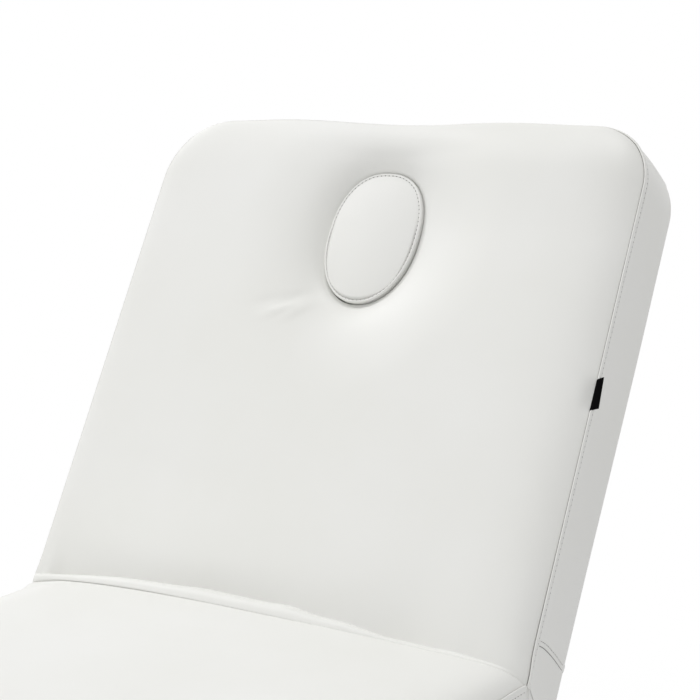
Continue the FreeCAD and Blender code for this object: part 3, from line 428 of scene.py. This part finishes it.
def fullness(along):
    """Exponent of the oval: its upper half is fuller than its lower half."""
    return 2.35 if along > hole_along else 2.08


def oval(x, along):
    """Distance from the middle of the face hole, 1 at its rim."""
    power = fullness(along)
    across = abs(x / hole_wide) ** power
    lengthwise = abs((along - hole_along) / hole_long) ** power
    return (across + lengthwise) ** (1 / power)


# Small puckers in the face below the hole: middle across and along, direction, height
puckers = [(-0.085, -0.099, -2.70, 0.0014), (-0.073, -0.084, -2.66, -0.0013),
           (-0.100, -0.088, -2.75, -0.0010), (-0.062, -0.098, -2.45, 0.0010)]
pucker_long = 0.020
pucker_wide = 0.0055
rim_level = -0.0160


def dimple(x, along, crown):
    """The face pulled down towards the rim of the hole."""
    share = oval(x, along)
    reach = max(1e-6, math.hypot(x, along - hole_along))
    away = reach * (1 - 1 / share) if share > 1 else 0.0
    right = max(0.0, x) / reach
    up = max(0.0, along - hole_along) / reach
    pull = 0.80 * math.exp(-away / (0.0200 + 0.012 * right ** 2 - 0.002 * up ** 2))
    pull += 0.20 * (1 - 0.4 * up ** 2) * (1 - smooth(away / 0.11))
    pull *= smooth((head - along) / 0.045)
    crown += (rim_level - crown) * pull
    for middle_x, middle_y, turn, tall in puckers:
        off_x = x - middle_x
        off_y = along - hole_along - middle_y
        ahead = off_x * math.cos(turn) + off_y * math.sin(turn)
        aside = off_y * math.cos(turn) - off_x * math.sin(turn)
        crown += tall * math.exp(-(ahead / pucker_long) ** 2 - (aside / pucker_wide) ** 2)
    return crown


# What a sheet keeps on each corner: its place in plan and the way out over the edge
plan_names = ("plan_x", "plan_y", "out_x", "out_y")


def sewn_panel(rows, columns, spot):
    """A sheet of quads; spot gives each corner's place in plan and its place in space."""
    sheet = bmesh.new()
    wide = len(columns) - 1
    long = len(rows) - 1
    bmesh.ops.create_grid(sheet, x_segments=wide, y_segments=long, size=1.0)
    plan = [sheet.verts.layers.float.new(name) for name in plan_names]
    sheet.verts.layers.float.new("seam")
    for corner in sheet.verts:
        column = round((corner.co.x + 1) / 2 * wide)
        row = round((corner.co.y + 1) / 2 * long)
        x, along, place = spot(column, row)
        corner[plan[0]] = x
        corner[plan[1]] = along
        corner.co = place
    return sheet


def edge_walk(sheet, inside):
    """The outer edge of a sheet in order; each corner keeps its outward direction in plan."""
    plan_x, plan_y, out_x, out_y = (sheet.verts.layers.float[name] for name in plan_names)
    edge = [v for v in sheet.verts if v.is_boundary]
    start = max(edge, key=lambda v: (v[plan_x], -v[plan_y]))
    ring = [start]
    while True:
        onward = [e.other_vert(ring[-1]) for e in ring[-1].link_edges if e.is_boundary]
        onward = [v for v in onward if len(ring) < 2 or v is not ring[-2]]
        if onward[0] is start or (len(ring) > 2 and start in onward):
            break
        ring.append(onward[0])
    for before, here, after in zip(ring[-1:] + ring[:-1], ring, ring[1:] + ring[:1]):
        way = Vector((after[plan_x] - before[plan_x], after[plan_y] - before[plan_y])).normalized()
        out = Vector((way.y, -way.x))
        if out.dot(Vector((here[plan_x] - inside[0], here[plan_y] - inside[1]))) < 0:
            out = -out
        here[out_x] = out.x
        here[out_y] = out.y
    return ring


# Turned seam and side panel, as steps (outward, over the seam plane, painted shade of the seam groove and
# stitch channel)
seam_steps = [(-0.0005, -0.0010, 0.9), (0.0, -0.0010, 0.9), (0.0002, 0.0003, 0.7),
              (0.0005, 0.0011, 0.0), (0.0009, 0.0015, 0.0), (0.0015, 0.0016, 0.0),
              (0.0021, 0.0013, 0.0), (0.0025, 0.0004, 0.0), (0.0026, -0.0012, 0.0),
              (0.0022, -0.0036, 0.0), (0.0016, -0.0056, 0.0), (0.0012, -0.0068, 0.35),
              (0.0014, -0.0082, 0.0), (0.0014, -0.0105, 0.0)]
stitch_ring = 12
side_drops = (0.013, 0.019, 0.027, 0.036, 0.046, 0.056, 0.065, 0.073, 0.079, 0.083)
side_steps = [(0.0012, -drop, 0.0) for drop in side_drops]
hem_steps = [(0.0006, -0.0852, 0.0), (-0.0015, -0.0866, 0.0), (-0.024, -0.0868, 0.0),
             (-0.0242, -0.0858, 0.0)]
cover_steps = seam_steps + side_steps + hem_steps


def side_draw(rise, along=0.0):
    """The stretched side panels draw in at half depth and, near the fold, towards the hem."""
    pull = 0.0025 - 0.0035 * smooth((along - 0.42) / 0.12)
    taper = 0.0036 * (1 - smooth(along / 0.42)) * min(1.0, max(0.0, -rise) / depth)
    middle = depth / 2
    return -taper - (pull * (1 - ((rise + middle) / middle) ** 2) if -depth < rise < 0 else 0.0)


def seam_shade_share(out_x, along):
    """Share of painted shade in the seam crevice: full on right-facing edges past the crease, a tenth on the
    seat, none on the left.
    """
    right = smooth((out_x - 0.1) / 0.7)
    on_back = smooth((along - 0.0012) / 0.005)
    on_seat = smooth((-along - 0.0012) / 0.005)
    return right * (on_back + 0.1 * on_seat)


def turn_down(sheet, ring, steps, place, tight=1.0):
    """Extrudes the outer edge ring by ring into seam, side panel and hem; gives the rings back."""
    plan_x, plan_y, out_x, out_y = (sheet.verts.layers.float[name] for name in plan_names)
    seam = sheet.verts.layers.float["seam"]
    rings = [ring]
    # The seam attribute is painted shade: border and groove rings darken where the seam crevice lies in
    # shadow.
    for v in ring:
        v[seam] = 0.6 * steps[0][2] * seam_shade_share(v[out_x], v[plan_y])
    for out, rise, dark in steps:
        last = rings[-1]
        edges = [edge for a, b in zip(last, last[1:] + last[:1])
                 for edge in a.link_edges if edge.other_vert(a) is b]
        made = bmesh.ops.extrude_edge_only(sheet, edges=edges)["geom"]
        new = {v for v in made if isinstance(v, bmesh.types.BMVert)}
        follow = []
        for v in last:
            follow.append(next(e.other_vert(v) for e in v.link_edges if e.other_vert(v) in new))
        for v in follow:
            lay = 1 - tight * 0.85 * (1 - smooth((v[out_x] + 0.2) / 0.9))
            step = out * lay + side_draw(rise, v[plan_y])
            level = rise * lay if rise > -0.003 else rise
            v.co = place(v[plan_x] + step * v[out_x], v[plan_y] + step * v[out_y], level)
            v[seam] = dark * seam_shade_share(v[out_x], v[plan_y])
        rings.append(follow)
    return rings


def finished(name, sheet, *finishes):
    """Makes the sheet a smooth mesh object at the origin."""
    bmesh.ops.recalc_face_normals(sheet, faces=sheet.faces)
    for face in sheet.faces:
        face.smooth = True
    mesh = bpy.data.meshes.new(name)
    sheet.to_mesh(mesh)
    sheet.free()
    for finish in finishes:
        mesh.materials.append(finish)
    piece = bpy.data.objects.new(name, mesh)
    bpy.context.scene.collection.objects.link(piece)
    return piece


def rounded_corner(x, along, radius, end, way):
    """Warps the square corner of the plan into an arc."""
    a = (abs(x) - (half - radius)) / radius
    b = (way * along - (way * end - radius)) / radius
    if a <= 0 or b <= 0:
        return x, along
    bent_a = a * math.sqrt(1 - b * b / 2)
    bent_b = b * math.sqrt(1 - a * a / 2)
    bent_x = math.copysign(half - radius + bent_a * radius, x)
    return bent_x, way * (way * end - radius + bent_b * radius)


# Rings of quads round the hole, counted from its middle: floor of the well, rim, square outside
floor_ring = 9
rim_ring = 14
block_ring = 30
block_wide = 0.150
block_long = 0.120
rim_steps = {13: (0.0009, -0.0144), 12: (-0.0002, -0.0150), 11: (-0.0001, -0.0190),
             10: (0.0, -0.045), floor_ring: (0.0, well_floor)}

# Columns and rows of the sheet: finer by the seams, in the crease, on the roll and at the hole
half_columns = [0.005 * i for i in range(block_ring + 1)]
half_columns += [block_wide + 0.006 * i for i in range(1, 24)]
half_columns += [0.292, 0.296, 0.299, 0.302, 0.3045, 0.3065, 0.3082, 0.3094, 0.310]
columns = [-x for x in reversed(half_columns[1:])] + half_columns
seat_rows = [seat_mouth + d for d in (0, 0.0012, 0.0028, 0.0048, 0.0075, 0.011, 0.015, 0.020,
                                     0.026, 0.032, 0.039, 0.047, 0.055)]
seat_rows += [0.065 + 0.008 * i for i in range(59)]
seat_rows += [-seat_front - d for d in (0.024, 0.018, 0.013, 0.009, 0.006, 0.004, 0.002, 0.001)]
rows = [-d for d in reversed(seat_rows)]
rows += [seat_mouth * i / 6 for i in range(-5, 0)] + [back_mouth * i / 6 for i in range(6)]
rows += [back_mouth + lip_rows * share for share in (0, 0.06, 0.14, 0.24, 0.34, 0.46, 0.58, 0.69,
                                                     0.79, 0.87, 0.93, 0.97, 1.0)]
rows += [0.0120, 0.0130, 0.0150, 0.0180, 0.021, 0.025, 0.029, 0.033, 0.037, 0.0415, 0.046, 0.051,
         0.056, 0.061]
rows += [0.061 + (0.271 / 49) * i for i in range(1, 49)]
block_row = len(rows)
rows += [0.332 + 0.004 * i for i in range(2 * block_ring + 1)]
rows += [head - d for d in (0.016, 0.012, 0.0085, 0.0055, 0.003, 0.0016, 0.001)]
middle_column = len(half_columns) - 1
middle_row = block_row + block_ring
head_corner_left = 0.078
head_corner_right = 0.071
butt_corner = 0.012


def slack(turn):
    """How slack the edge of the hole lies: only below the plug."""
    return max(0.0, math.cos(turn + 1.62)) ** 2.5


def oval_spot(i, j, ring):
    """A corner of the rings of quads round the hole, square outside and oval at the rim."""
    eighth = math.pi / 4
    if abs(i) == ring:
        turn = eighth * j / ring if i > 0 else math.pi - eighth * j / ring
    elif j > 0:
        turn = math.pi / 2 - eighth * i / ring
    else:
        turn = -math.pi / 2 + eighth * i / ring
    share = max(0.0, (ring - rim_ring) / (block_ring - rim_ring))
    gap = 0.0
    if ring >= rim_ring:
        gap = 0.0020 + 0.0034 * slack(turn)
    elif ring in rim_steps:
        gap = rim_steps[ring][0]
        if ring == rim_ring - 1:
            gap += 0.0030 * slack(turn)
    inner = min(1.0, ring / floor_ring)
    wide = (hole_wide + gap + (block_wide - hole_wide - gap) * share) * inner
    long = (hole_long + gap + (block_long - hole_long - gap) * share) * inner
    square = smooth(share)
    power = 2 / fullness(hole_along + math.sin(turn))
    full_x = math.copysign(abs(math.cos(turn)) ** power, math.cos(turn))
    full_y = math.copysign(abs(math.sin(turn)) ** power, math.sin(turn))
    x = wide * (full_x * (1 - square) + i / ring * square)
    y = long * (full_y * (1 - square) + j / ring * square)
    return x, hole_along + y


def bed_spot(column, row):
    """A corner of the cover: in the well, on its rim, or on the face with its roll and dimple."""
    x = columns[column]
    along = rows[row]
    ring = max(abs(column - middle_column), abs(row - middle_row))
    if 0 < ring < block_ring:
        x, along = oval_spot(column - middle_column, row - middle_row, ring)
        if ring in rim_steps:
            turn = math.atan2((along - hole_along) / hole_long, x / hole_wide)
            lift = 0.0014 * slack(turn) if ring >= rim_ring - 2 else 0.0
            return x, along, on_bed(x, along, rim_steps[ring][1] + lift)
        if ring < floor_ring:
            return x, along, on_bed(x, along, well_floor)
    lift = 0.0
    crown = bed_crown(x, along)
    if back_mouth <= along < lip_zone:
        along, lift = rolled_lip(x, along)
    if along > 0.1:
        crown = dimple(x, along, crown)
    crown += 0.0005 * noise.noise((x * 9, along * 9, 1.7)) * across_crown(x)
    crown -= 0.003 * math.exp(-((along - 0.293) / 0.016) ** 4 - ((half - x - 0.004) / 0.005) ** 2)
    along += head_wave(x) * smooth((along - 0.50) / 0.092)
    head_corner = head_corner_left if x < 0 else head_corner_right
    x, along = rounded_corner(x, along, head_corner, head, 1)
    x, along = rounded_corner(x, along, butt_corner, seat_front, -1)
    return x, along, on_bed(x, along, crown + lift)


white_fabric, tree, shader = new_finish("white_coated_fabric", (0.80, 0.80, 0.775), 0.45)
space = object_place(tree)
pebble = tree.nodes.new("ShaderNodeTexVoronoi")
pebble.feature = "SMOOTH_F1"
pebble.inputs["Scale"].default_value = 820.0
tree.links.new(space, pebble.inputs["Vector"])
cloud = speckle(tree, space, 5.0, 3.0)
cream = tones(tree, cloud, (0.3, (0.785, 0.785, 0.755)), (0.7, (0.815, 0.815, 0.795)))
# The seam attribute mixes in dark grey: painted shade in the seam groove, stitch channel and lap edges.
line = tree.nodes.new("ShaderNodeAttribute")
line.attribute_name = "seam"
painted_seam_shade = tree.nodes.new("ShaderNodeMix")
painted_seam_shade.data_type = "RGBA"
painted_seam_shade.inputs["B"].default_value = (0.17, 0.166, 0.158, 1)
tree.links.new(line.outputs["Fac"], painted_seam_shade.inputs["Factor"])
tree.links.new(cream, painted_seam_shade.inputs["A"])
tree.links.new(painted_seam_shade.outputs["Result"], shader.inputs["Base Color"])
gloss(tree, shader, cloud, 0.40, 0.52)
relief(tree, shader, pebble.outputs["Distance"], 0.10, 0.0003)
shader.inputs["Specular IOR Level"].default_value = 0.4

cover = sewn_panel(rows, columns, bed_spot)
plan_x = cover.verts.layers.float["plan_x"]
plan_y = cover.verts.layers.float["plan_y"]
well = [f for f in cover.faces if all(oval(v[plan_x], v[plan_y]) < 0.99 for v in f.verts)]
bmesh.ops.delete(cover, geom=well, context="FACES")
bed_ring = edge_walk(cover, (0.0, 0.0))
bed_rings = turn_down(cover, bed_ring, cover_steps, on_bed)
bed_stitch_line = [v.co.copy() for v in bed_rings[stitch_ring]]
bed_cover = finished("seat_and_back_upholstery", cover, white_fabric)
fold_from = axis - fold_over * fold_half
fold_to = axis + fold_over * fold_half
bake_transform(bed_cover, "seat", "backrest", start=fold_from, end=fold_to)
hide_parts("seat_cover", "seat_foam", "back_cover", "back_foam")

# Topstitching along the turned seam: white thread in short flat stitches, and between them dark grey dots of
# painted shade where the needle holes lie.
# One row runs round seat and backrest on the side panels, and bends with the cover.
thread, tree, shader = new_finish("sewing_thread", (0.72, 0.715, 0.69), 0.6)
twist = speckle(tree, object_place(tree), 1400.0, 2.0)
tint(tree, shader, twist, (0.3, (0.62, 0.615, 0.59)), (0.7, (0.78, 0.775, 0.75)))
relief(tree, shader, twist, 0.3, 0.0002)
# Needle holes: painted shade, a dark grey standing for the shadow inside each hole.
needle_hole_shade, tree, shader = new_finish("needle_hole_shade", (0.22, 0.215, 0.20), 0.9)
tint(tree, shader, speckle(tree, object_place(tree), 700.0, 1.0),
     (0.3, (0.16, 0.155, 0.15)), (0.7, (0.26, 0.25, 0.235)))
stitch_size = (0.0018, 0.00040, 0.00036)
hole_tall = 0.00025
fold_clear = 0.003
end_half = 0.306


def add_stitches(row, line, outward, pitch=0.0055, hole=0.0010, closed=True):
    """Lays flat stitches along a line, with dark dots of painted shade for the needle holes between them;
    none in the fold.
    """
    line = line + line[:1] if closed else line
    knots = ((0, stitch_size, 0), (pitch / 2, (hole, 0.8 * hole, hole_tall), 1))
    left = pitch / 2
    for here, after in zip(line, line[1:]):
        stretch = (after - here).length
        while left < stretch:
            way = (after - here).normalized()
            spot = here + way * left
            out = outward(spot)
            out = (out - way * out.dot(way)).normalized()
            turn = Matrix((way, out.cross(way), out)).transposed().to_4x4()
            for slide, size, index in knots:
                middle = spot + way * slide
                if abs((middle - axis).dot(fold_over)) < fold_clear:
                    continue
                place = Matrix.Translation(middle) @ turn @ Matrix.Diagonal((*size, 1))
                made = bmesh.ops.create_icosphere(row, subdivisions=1, radius=1.0, matrix=place)
                for face in {f for v in made["verts"] for f in v.link_faces}:
                    face.material_index = index
            left += pitch
        left -= stretch


def corner_ways(x):
    """Sideways and endways shares of the outward direction at a rounded corner."""
    sideways = max(0.0, abs(x) - 0.24) / 0.07
    return math.copysign(sideways, x), math.sqrt(max(0.0, 1 - sideways * sideways))


def side_out(spot):
    """Outward from the side panels and ends of the bed."""
    if (spot - axis).dot(back_way) > 0.60 and abs(spot.x) < half:
        sideways, endways = corner_ways(spot.x)
        return back_way * endways + Vector((sideways, 0, 0))
    if spot.y < leg_axis.y + 0.006 and abs(spot.x) < end_half:
        return Vector((0, -1, 0))
    return Vector((math.copysign(1, spot.x), 0, 0))


row = bmesh.new()
add_stitches(row, bed_stitch_line, side_out)
bed_stitches = finished("seat_and_back_stitches", row, thread, needle_hole_shade)
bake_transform(bed_stitches, "seat", "backrest", start=fold_from, end=fold_to)

# Fold gusset: on each side panel a wedge is let in at the hinge with two lapped seams.
# The upper panel laps over the wedge and is stitched down; the lower seam starts at the crease.
# Seams by their distances from crease and top seam, and the lap as steps (over, out, painted shade at the
# lap's edge)
upper_arc = [(0.0383, 0.006), (0.0396, 0.014), (0.0399, 0.028), (0.0381, 0.046), (0.0344, 0.065),
             (0.0285, 0.0853)]
lower_arc = [(-0.0022, 0.008), (-0.0037, 0.013), (-0.0092, 0.0277), (-0.0185, 0.048),
             (-0.031, 0.070), (-0.0375, 0.082)]
lap_stitch = 0.0046
lap_root = 0.0003
lap_steps = [(-0.0006, 0.0, 1.0), (0.0, 0.0002, 1.0), (0.0003, 0.0004, 0.1), (0.0008, 0.0005, 0.0),
             (0.0030, 0.0005, 0.0), (lap_stitch, 0.0002, 0.0), (0.0058, 0.0003, 0.0),
             (0.0085, -0.0004, 0.0)]


def on_side(side, along, drop, lift):
    """A point of a side panel of the backrest, by the distances from crease and seam."""
    spot = axis + back_way * (depth * math.tan(lean / 2) + along) + back_up * (depth - drop)
    swell = fold_swell(side * half, along + 0.004 + drop * math.tan(back_tip), -drop)
    out = (0.0013 if side > 0 else 0.0006) - 0.0007 * smooth((drop - 0.080) / 0.006)
    return Vector((side * (half + out + side_draw(-drop) + lift) + swell, spot.y, spot.z))


def curve_through(points, count):
    """Evenly numbered points on a smooth line through a few."""
    line = []
    for k in range(count):
        share = k / (count - 1) * (len(points) - 1)
        i = min(int(share), len(points) - 2)
        part = share - i
        around = (max(0, i - 1), i, i + 1, min(len(points) - 1, i + 2))
        a, b, c, d = (Vector(points[n]) for n in around)
        line.append(0.5 * (2 * b + (c - a) * part + (2 * a - 5 * b + 4 * c - d) * part ** 2
                           + (3 * b - a - 3 * c + d) * part ** 3))
    return line


row = bmesh.new()
for side, side_name in ((1, "right"), (-1, "left")):
    for arc, arc_name in ((upper_arc, "upper"), (lower_arc, "lower")):
        line = curve_through(arc, 29)
        ways = [(b - a).normalized() for a, b in zip(line, line[1:])]
        ways.append(ways[-1])

        def lap_spot(column, step):
            slide, lift, _ = lap_steps[step]
            across = Vector((-ways[column].y, ways[column].x))
            across = across if across.x > 0 else -across
            there = line[column] + across * slide
            lift = (lift + lap_root) * smooth(column / 4) - lap_root
            return there.x, there.y, on_side(side, there.x, there.y, lift)

        lap = sewn_panel(list(range(len(lap_steps))), list(range(len(line))), lap_spot)
        seam = lap.verts.layers.float["seam"]
        lap.verts.ensure_lookup_table()
        # Painted shade at the lap's edge: full along the upper seam, half along the lower.
        for v in lap.verts:
            v[seam] = lap_steps[v.index // len(line)][2] * (1.0 if arc_name == "upper" else 0.5)
        out = Vector((side, 0, 0))
        if arc_name == "upper":
            stitched = []
            for spot, way in zip(line, ways):
                along = spot.x + lap_stitch * abs(way.y)
                drop = spot.y + lap_stitch * way.x * (-1 if way.y > 0 else 1)
                stitched.append(on_side(side, along, drop, 0.0005))
            add_stitches(row, stitched[3:-2], lambda spot: out, hole=0.0005, closed=False)
        gusset_lap = finished(f"gusset_lap_{arc_name}_{side_name}", lap, white_fabric)
        if gusset_lap.data.polygons[0].normal.x * side < 0:
            gusset_lap.data.flip_normals()
        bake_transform(gusset_lap, "seat", "backrest", start=fold_from, end=fold_to)
gusset_stitches = finished("gusset_stitches", row, thread, needle_hole_shade)
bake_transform(gusset_stitches, "seat", "backrest", start=fold_from, end=fold_to)

# Face plug: an oval foam pad in the same fabric that drops into the face hole.
# A domed top panel is sewn to an upright band, with a topstitched edge.
plug_wide = 0.059
plug_long = 0.080
plug_edge = -0.0098
plug_grid = [i / 15 - 1 for i in range(31)]
plug_inset = 0.004
# Edge and band of the pad, as steps (outward, over the seam plane, painted shade of the line); the shade
# shows only on the pad's right side.
plug_steps = [(0.0005, plug_edge + 0.0004, 0.1), (0.0012, plug_edge + 0.0009, 0.0),
              (0.0024, plug_edge + 0.0008, 0.0), (0.0033, plug_edge + 0.0001, 0.0),
              (0.0037, plug_edge - 0.0012, 0.0), (0.0036, plug_edge - 0.0024, 0.25),
              (0.0037, plug_edge - 0.004, 0.0), (0.0038, plug_edge - 0.012, 0.0),
              (0.0036, plug_edge - 0.035, 0.0), (0.0034, plug_edge - 0.060, 0.0),
              (0.0030, -0.0706, 0.0), (0.0010, -0.0709, 0.0)]


def plug_spot(column, step):
    """A corner of the pad's top: the square grid drawn round, then full like the hole, and domed."""
    u = plug_grid[column]
    v = plug_grid[step]
    x = u * math.sqrt(1 - v * v / 2)
    y = v * math.sqrt(1 - u * u / 2)
    dome = max(0.0, 1 - (x * x + y * y))
    power = fullness(hole_along + y)
    swell = 1.0
    if dome < 1:
        swell = math.hypot(x, y) / (abs(x) ** power + abs(y) ** power) ** (1 / power)
    x *= swell
    x *= plug_wide - plug_inset
    along = hole_along + y * swell * (plug_long - plug_inset)
    return x, along, on_bed(x, along, plug_edge + 0.0005 + 0.0058 * dome ** 0.85)


pad = sewn_panel(plug_grid, plug_grid, plug_spot)
plug_ring = edge_walk(pad, (0.0, hole_along))
plug_rings = turn_down(pad, plug_ring, plug_steps, on_bed, tight=0.0)
bmesh.ops.contextual_create(pad, geom=plug_rings[-1])
plug_line = [v.co + back_up * 0.0001 for v in plug_rings[1]]
plug_pad = finished("face_plug_pad", pad, white_fabric)
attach(plug_pad, "face_plug")
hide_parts("plug_cover", "plug_core")
row = bmesh.new()
add_stitches(row, plug_line, lambda spot: back_up, pitch=0.005)
plug_stitches = finished("face_plug_stitches", row, thread, needle_hole_shade)
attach(plug_stitches, "face_plug")

# Side tab: a short length of plain black woven tape, folded double and caught in the side seam.
# It comes out of the seam over the welt and stands off to the side.
tape, tree, shader = new_finish("black_woven_tape", (0.005, 0.005, 0.006), 0.8)
weave = bands(tree, object_place(tree, (1, 1, 1), (-lean, 0, 0)), "Y", 420.0, 0.8)
tint(tree, shader, weave, (0.2, (0.001, 0.001, 0.0012)), (0.8, (0.004, 0.004, 0.0045)))
relief(tree, shader, weave, 0.4, 0.0002)
shader.inputs["Specular IOR Level"].default_value = 0.04
# The fold of the tape, as steps (outward, over the seam plane)
tab_line = [(-0.0004, -0.0006), (0.0, 0.0006), (0.0008, 0.0015), (0.0022, 0.0016),
            (0.0042, 0.0010), (0.0065, 0.0002), (0.0085, -0.0005), (0.0094, -0.0011),
            (0.0096, -0.0016), (0.0093, -0.0020), (0.0080, -0.0014), (0.0062, -0.0007),
            (0.0042, 0.0001), (0.0030, 0.0002)]
tab_start = 0.2765
tab_wide = 0.0326
tab_parts = 12
tab_length = [tab_start + tab_wide * i / tab_parts for i in range(tab_parts + 1)]


def tab_spot(column, step):
    """A corner of the tape, which leans towards the head and narrows that way."""
    out, rise = tab_line[step]
    along = tab_length[column] + 0.0045 * max(0.0, out) / 0.0095
    out *= 0.82 - 0.22 * column / tab_parts
    return half + out, along, on_bed(half + out, along, rise)


tab = sewn_panel(list(range(len(tab_line))), tab_length, tab_spot)
blank_tab = finished("blank_side_tab", tab, tape)
thick = blank_tab.modifiers.new("tape thickness", "SOLIDIFY")
thick.thickness = 0.00035
thick.offset = 0.0
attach(blank_tab, "backrest")
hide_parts("side_tab")

# Leg rest cushion: a separate pad of the same make, with rounded foot corners.
# Its board is screwed on the leg rest frame, and it meets the seat in a straight butt joint.
foot = 0.600
foot_corner = 0.070
leg_near = butt_gap
leg_rows = [leg_near + d for d in (0.001, 0.0025, 0.0045, 0.007, 0.010, 0.014, 0.019)]
leg_rows += [0.028 + 0.0091 * i for i in range(60)]
leg_rows += [foot - d for d in (0.028, 0.021, 0.015, 0.0105, 0.007, 0.004, 0.002, 0.001)]
leg_half_columns = [0.0093 * i for i in range(31)]
leg_half_columns += [0.285, 0.290, 0.2945, 0.298, 0.301, 0.304, 0.3065, 0.3082, 0.3094, 0.310]
leg_columns = [-x for x in reversed(leg_half_columns[1:])] + leg_half_columns


def on_leg(x, along, rise):
    """A point on the leg rest: across, along from its hinge, and over the seam plane."""
    return Vector((x, leg_axis.y - along, leg_axis.z + depth + rise))


def leg_spot(column, step):
    """A corner of the leg rest's cover, with its crown rounded off at both ends."""
    x = leg_columns[column]
    along = leg_rows[step]
    ends = round_off(along - leg_near, 0.09, 0.6) * round_off(foot - along, 0.13, 0.6)
    crown = table(along, (0, 0.021), (0.35, 0.021), (0.60, 0.012)) * across_crown(x) * ends
    crown += 0.0006 * noise.noise((x * 9, along * 9, 6.3)) * across_crown(x)
    x, along = rounded_corner(x, along, foot_corner, foot, 1)
    x, along = rounded_corner(x, along, butt_corner, leg_near, -1)
    return x, along, on_leg(x, along, crown)


leg_pad = sewn_panel(leg_rows, leg_columns, leg_spot)
leg_ring = edge_walk(leg_pad, (0.0, 0.3))
leg_rings = turn_down(leg_pad, leg_ring, cover_steps, on_leg)
leg_line = [v.co.copy() for v in leg_rings[stitch_ring]]
leg_cushion = finished("leg_rest_upholstery", leg_pad, white_fabric)
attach(leg_cushion, "leg_rest")
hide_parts("leg_cover", "leg_foam")


def leg_out(spot):
    """Outward from the side panels and ends of the leg rest."""
    if spot.y > leg_axis.y - 0.006 and abs(spot.x) < end_half:
        return Vector((0, 1, 0))
    if spot.y < leg_axis.y - (foot - foot_corner) and abs(spot.x) < half:
        sideways, endways = corner_ways(spot.x)
        return Vector((sideways, -endways, 0))
    return Vector((math.copysign(1, spot.x), 0, 0))


row = bmesh.new()
add_stitches(row, leg_line, leg_out)
leg_stitches = finished("leg_rest_stitches", row, thread, needle_hole_shade)
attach(leg_stitches, "leg_rest")

# Floor and studio: a pale seamless floor under large soft lamps, with a white surround.
# Floor and surround are shown white, and near the bed the floor keeps its shadow.
# The camera stands at the foot end to the right, as the photograph was taken.
def shown_rays(tree):
    """1 for camera, glossy and transmission rays, 0 for the rays that only light the bed."""
    path = tree.nodes.new("ShaderNodeLightPath")
    either = tree.nodes.new("ShaderNodeMath")
    either.operation = "ADD"
    any_of = tree.nodes.new("ShaderNodeMath")
    any_of.operation = "ADD"
    any_of.use_clamp = True
    tree.links.new(path.outputs["Is Camera Ray"], either.inputs[0])
    tree.links.new(path.outputs["Is Glossy Ray"], either.inputs[1])
    tree.links.new(either.outputs["Value"], any_of.inputs[0])
    tree.links.new(path.outputs["Is Transmission Ray"], any_of.inputs[1])
    return any_of.outputs["Value"]


def blend_shaders(tree, share, first, second):
    mix = tree.nodes.new("ShaderNodeMixShader")
    tree.links.new(share, mix.inputs["Fac"])
    tree.links.new(first, mix.inputs[1])
    tree.links.new(second, mix.inputs[2])
    return mix.outputs["Shader"]


floor_mesh = bmesh.new()
bmesh.ops.create_grid(floor_mesh, x_segments=1, y_segments=1, size=14.0)
pale_floor, tree, shader = new_finish("pale_floor", (0.86, 0.86, 0.86), 0.9)
floor = finished("studio_floor", floor_mesh, pale_floor)
glow = tree.nodes.new("ShaderNodeEmission")
shown = tree.nodes.new("ShaderNodeBsdfDiffuse")
shown.inputs["Color"].default_value = (0.95, 0.95, 0.95, 1)
where = tree.nodes.new("ShaderNodeTexCoord")
away = tree.nodes.new("ShaderNodeVectorMath")
away.operation = "LENGTH"
tree.links.new(where.outputs["Object"], away.inputs[0])
fade = tree.nodes.new("ShaderNodeMapRange")
fade.interpolation_type = "SMOOTHSTEP"
fade.inputs["From Min"].default_value = 0.9
fade.inputs["From Max"].default_value = 2.4
fade.inputs["To Min"].default_value = 0.6
fade.inputs["To Max"].default_value = 1.0
tree.links.new(away.outputs["Value"], fade.inputs["Value"])
bright = blend_shaders(tree, fade.outputs["Result"], shown.outputs["BSDF"], glow.outputs["Emission"])
surface = blend_shaders(tree, shown_rays(tree), shader.outputs["BSDF"], bright)
tree.links.new(surface, tree.nodes["Material Output"].inputs["Surface"])

world = bpy.data.worlds.new("white_surround")
bpy.context.scene.world = world
world.use_nodes = True
tree = world.node_tree
surround = tree.nodes["Background"]
surround.inputs["Color"].default_value = (1, 1, 1, 1)
surround.inputs["Strength"].default_value = 0.60
white_ground = tree.nodes.new("ShaderNodeBackground")
white_ground.inputs["Color"].default_value = (1, 1, 1, 1)
surface = blend_shaders(tree, shown_rays(tree), surround.outputs["Background"],
                        white_ground.outputs["Background"])
tree.links.new(surface, tree.nodes["World Output"].inputs["Surface"])

bed_middle = Vector((0, 0.4, 0.8))
for lamp_name, place, power in (("overhead_softbox", (0.0, 0.4, 16.8), 550),
                                ("left_softbox", (-11.3, 0.4, 12.1), 600),
                                ("front_softbox", (-9.6, -9.2, 8.8), 330)):
    lamp = bpy.data.lights.new(lamp_name, "AREA")
    lamp.shape = "SQUARE"
    lamp.size = 5.0
    lamp.energy = power
    holder = bpy.data.objects.new(lamp_name, lamp)
    holder.location = place
    holder.rotation_euler = (bed_middle - Vector(place)).to_track_quat("-Z", "Y").to_euler()
    bpy.context.scene.collection.objects.link(holder)

view = bpy.data.cameras.new("photo_view")
view.lens = 84.65
view.sensor_width = 36.0
view.clip_end = 60.0
camera = bpy.data.objects.new("photo_view", view)
camera.location = (0.964, -0.9275, 1.1739)
yaw = math.radians(32.5)
pitch = math.radians(8.8)
level = math.cos(pitch)
ahead = Vector((-math.sin(yaw) * level, math.cos(yaw) * level, -math.sin(pitch)))
camera.rotation_euler = ahead.to_track_quat("-Z", "Y").to_euler()
bpy.context.scene.collection.objects.link(camera)
bpy.context.scene.camera = camera
bpy.context.scene.view_settings.view_transform = "Standard"
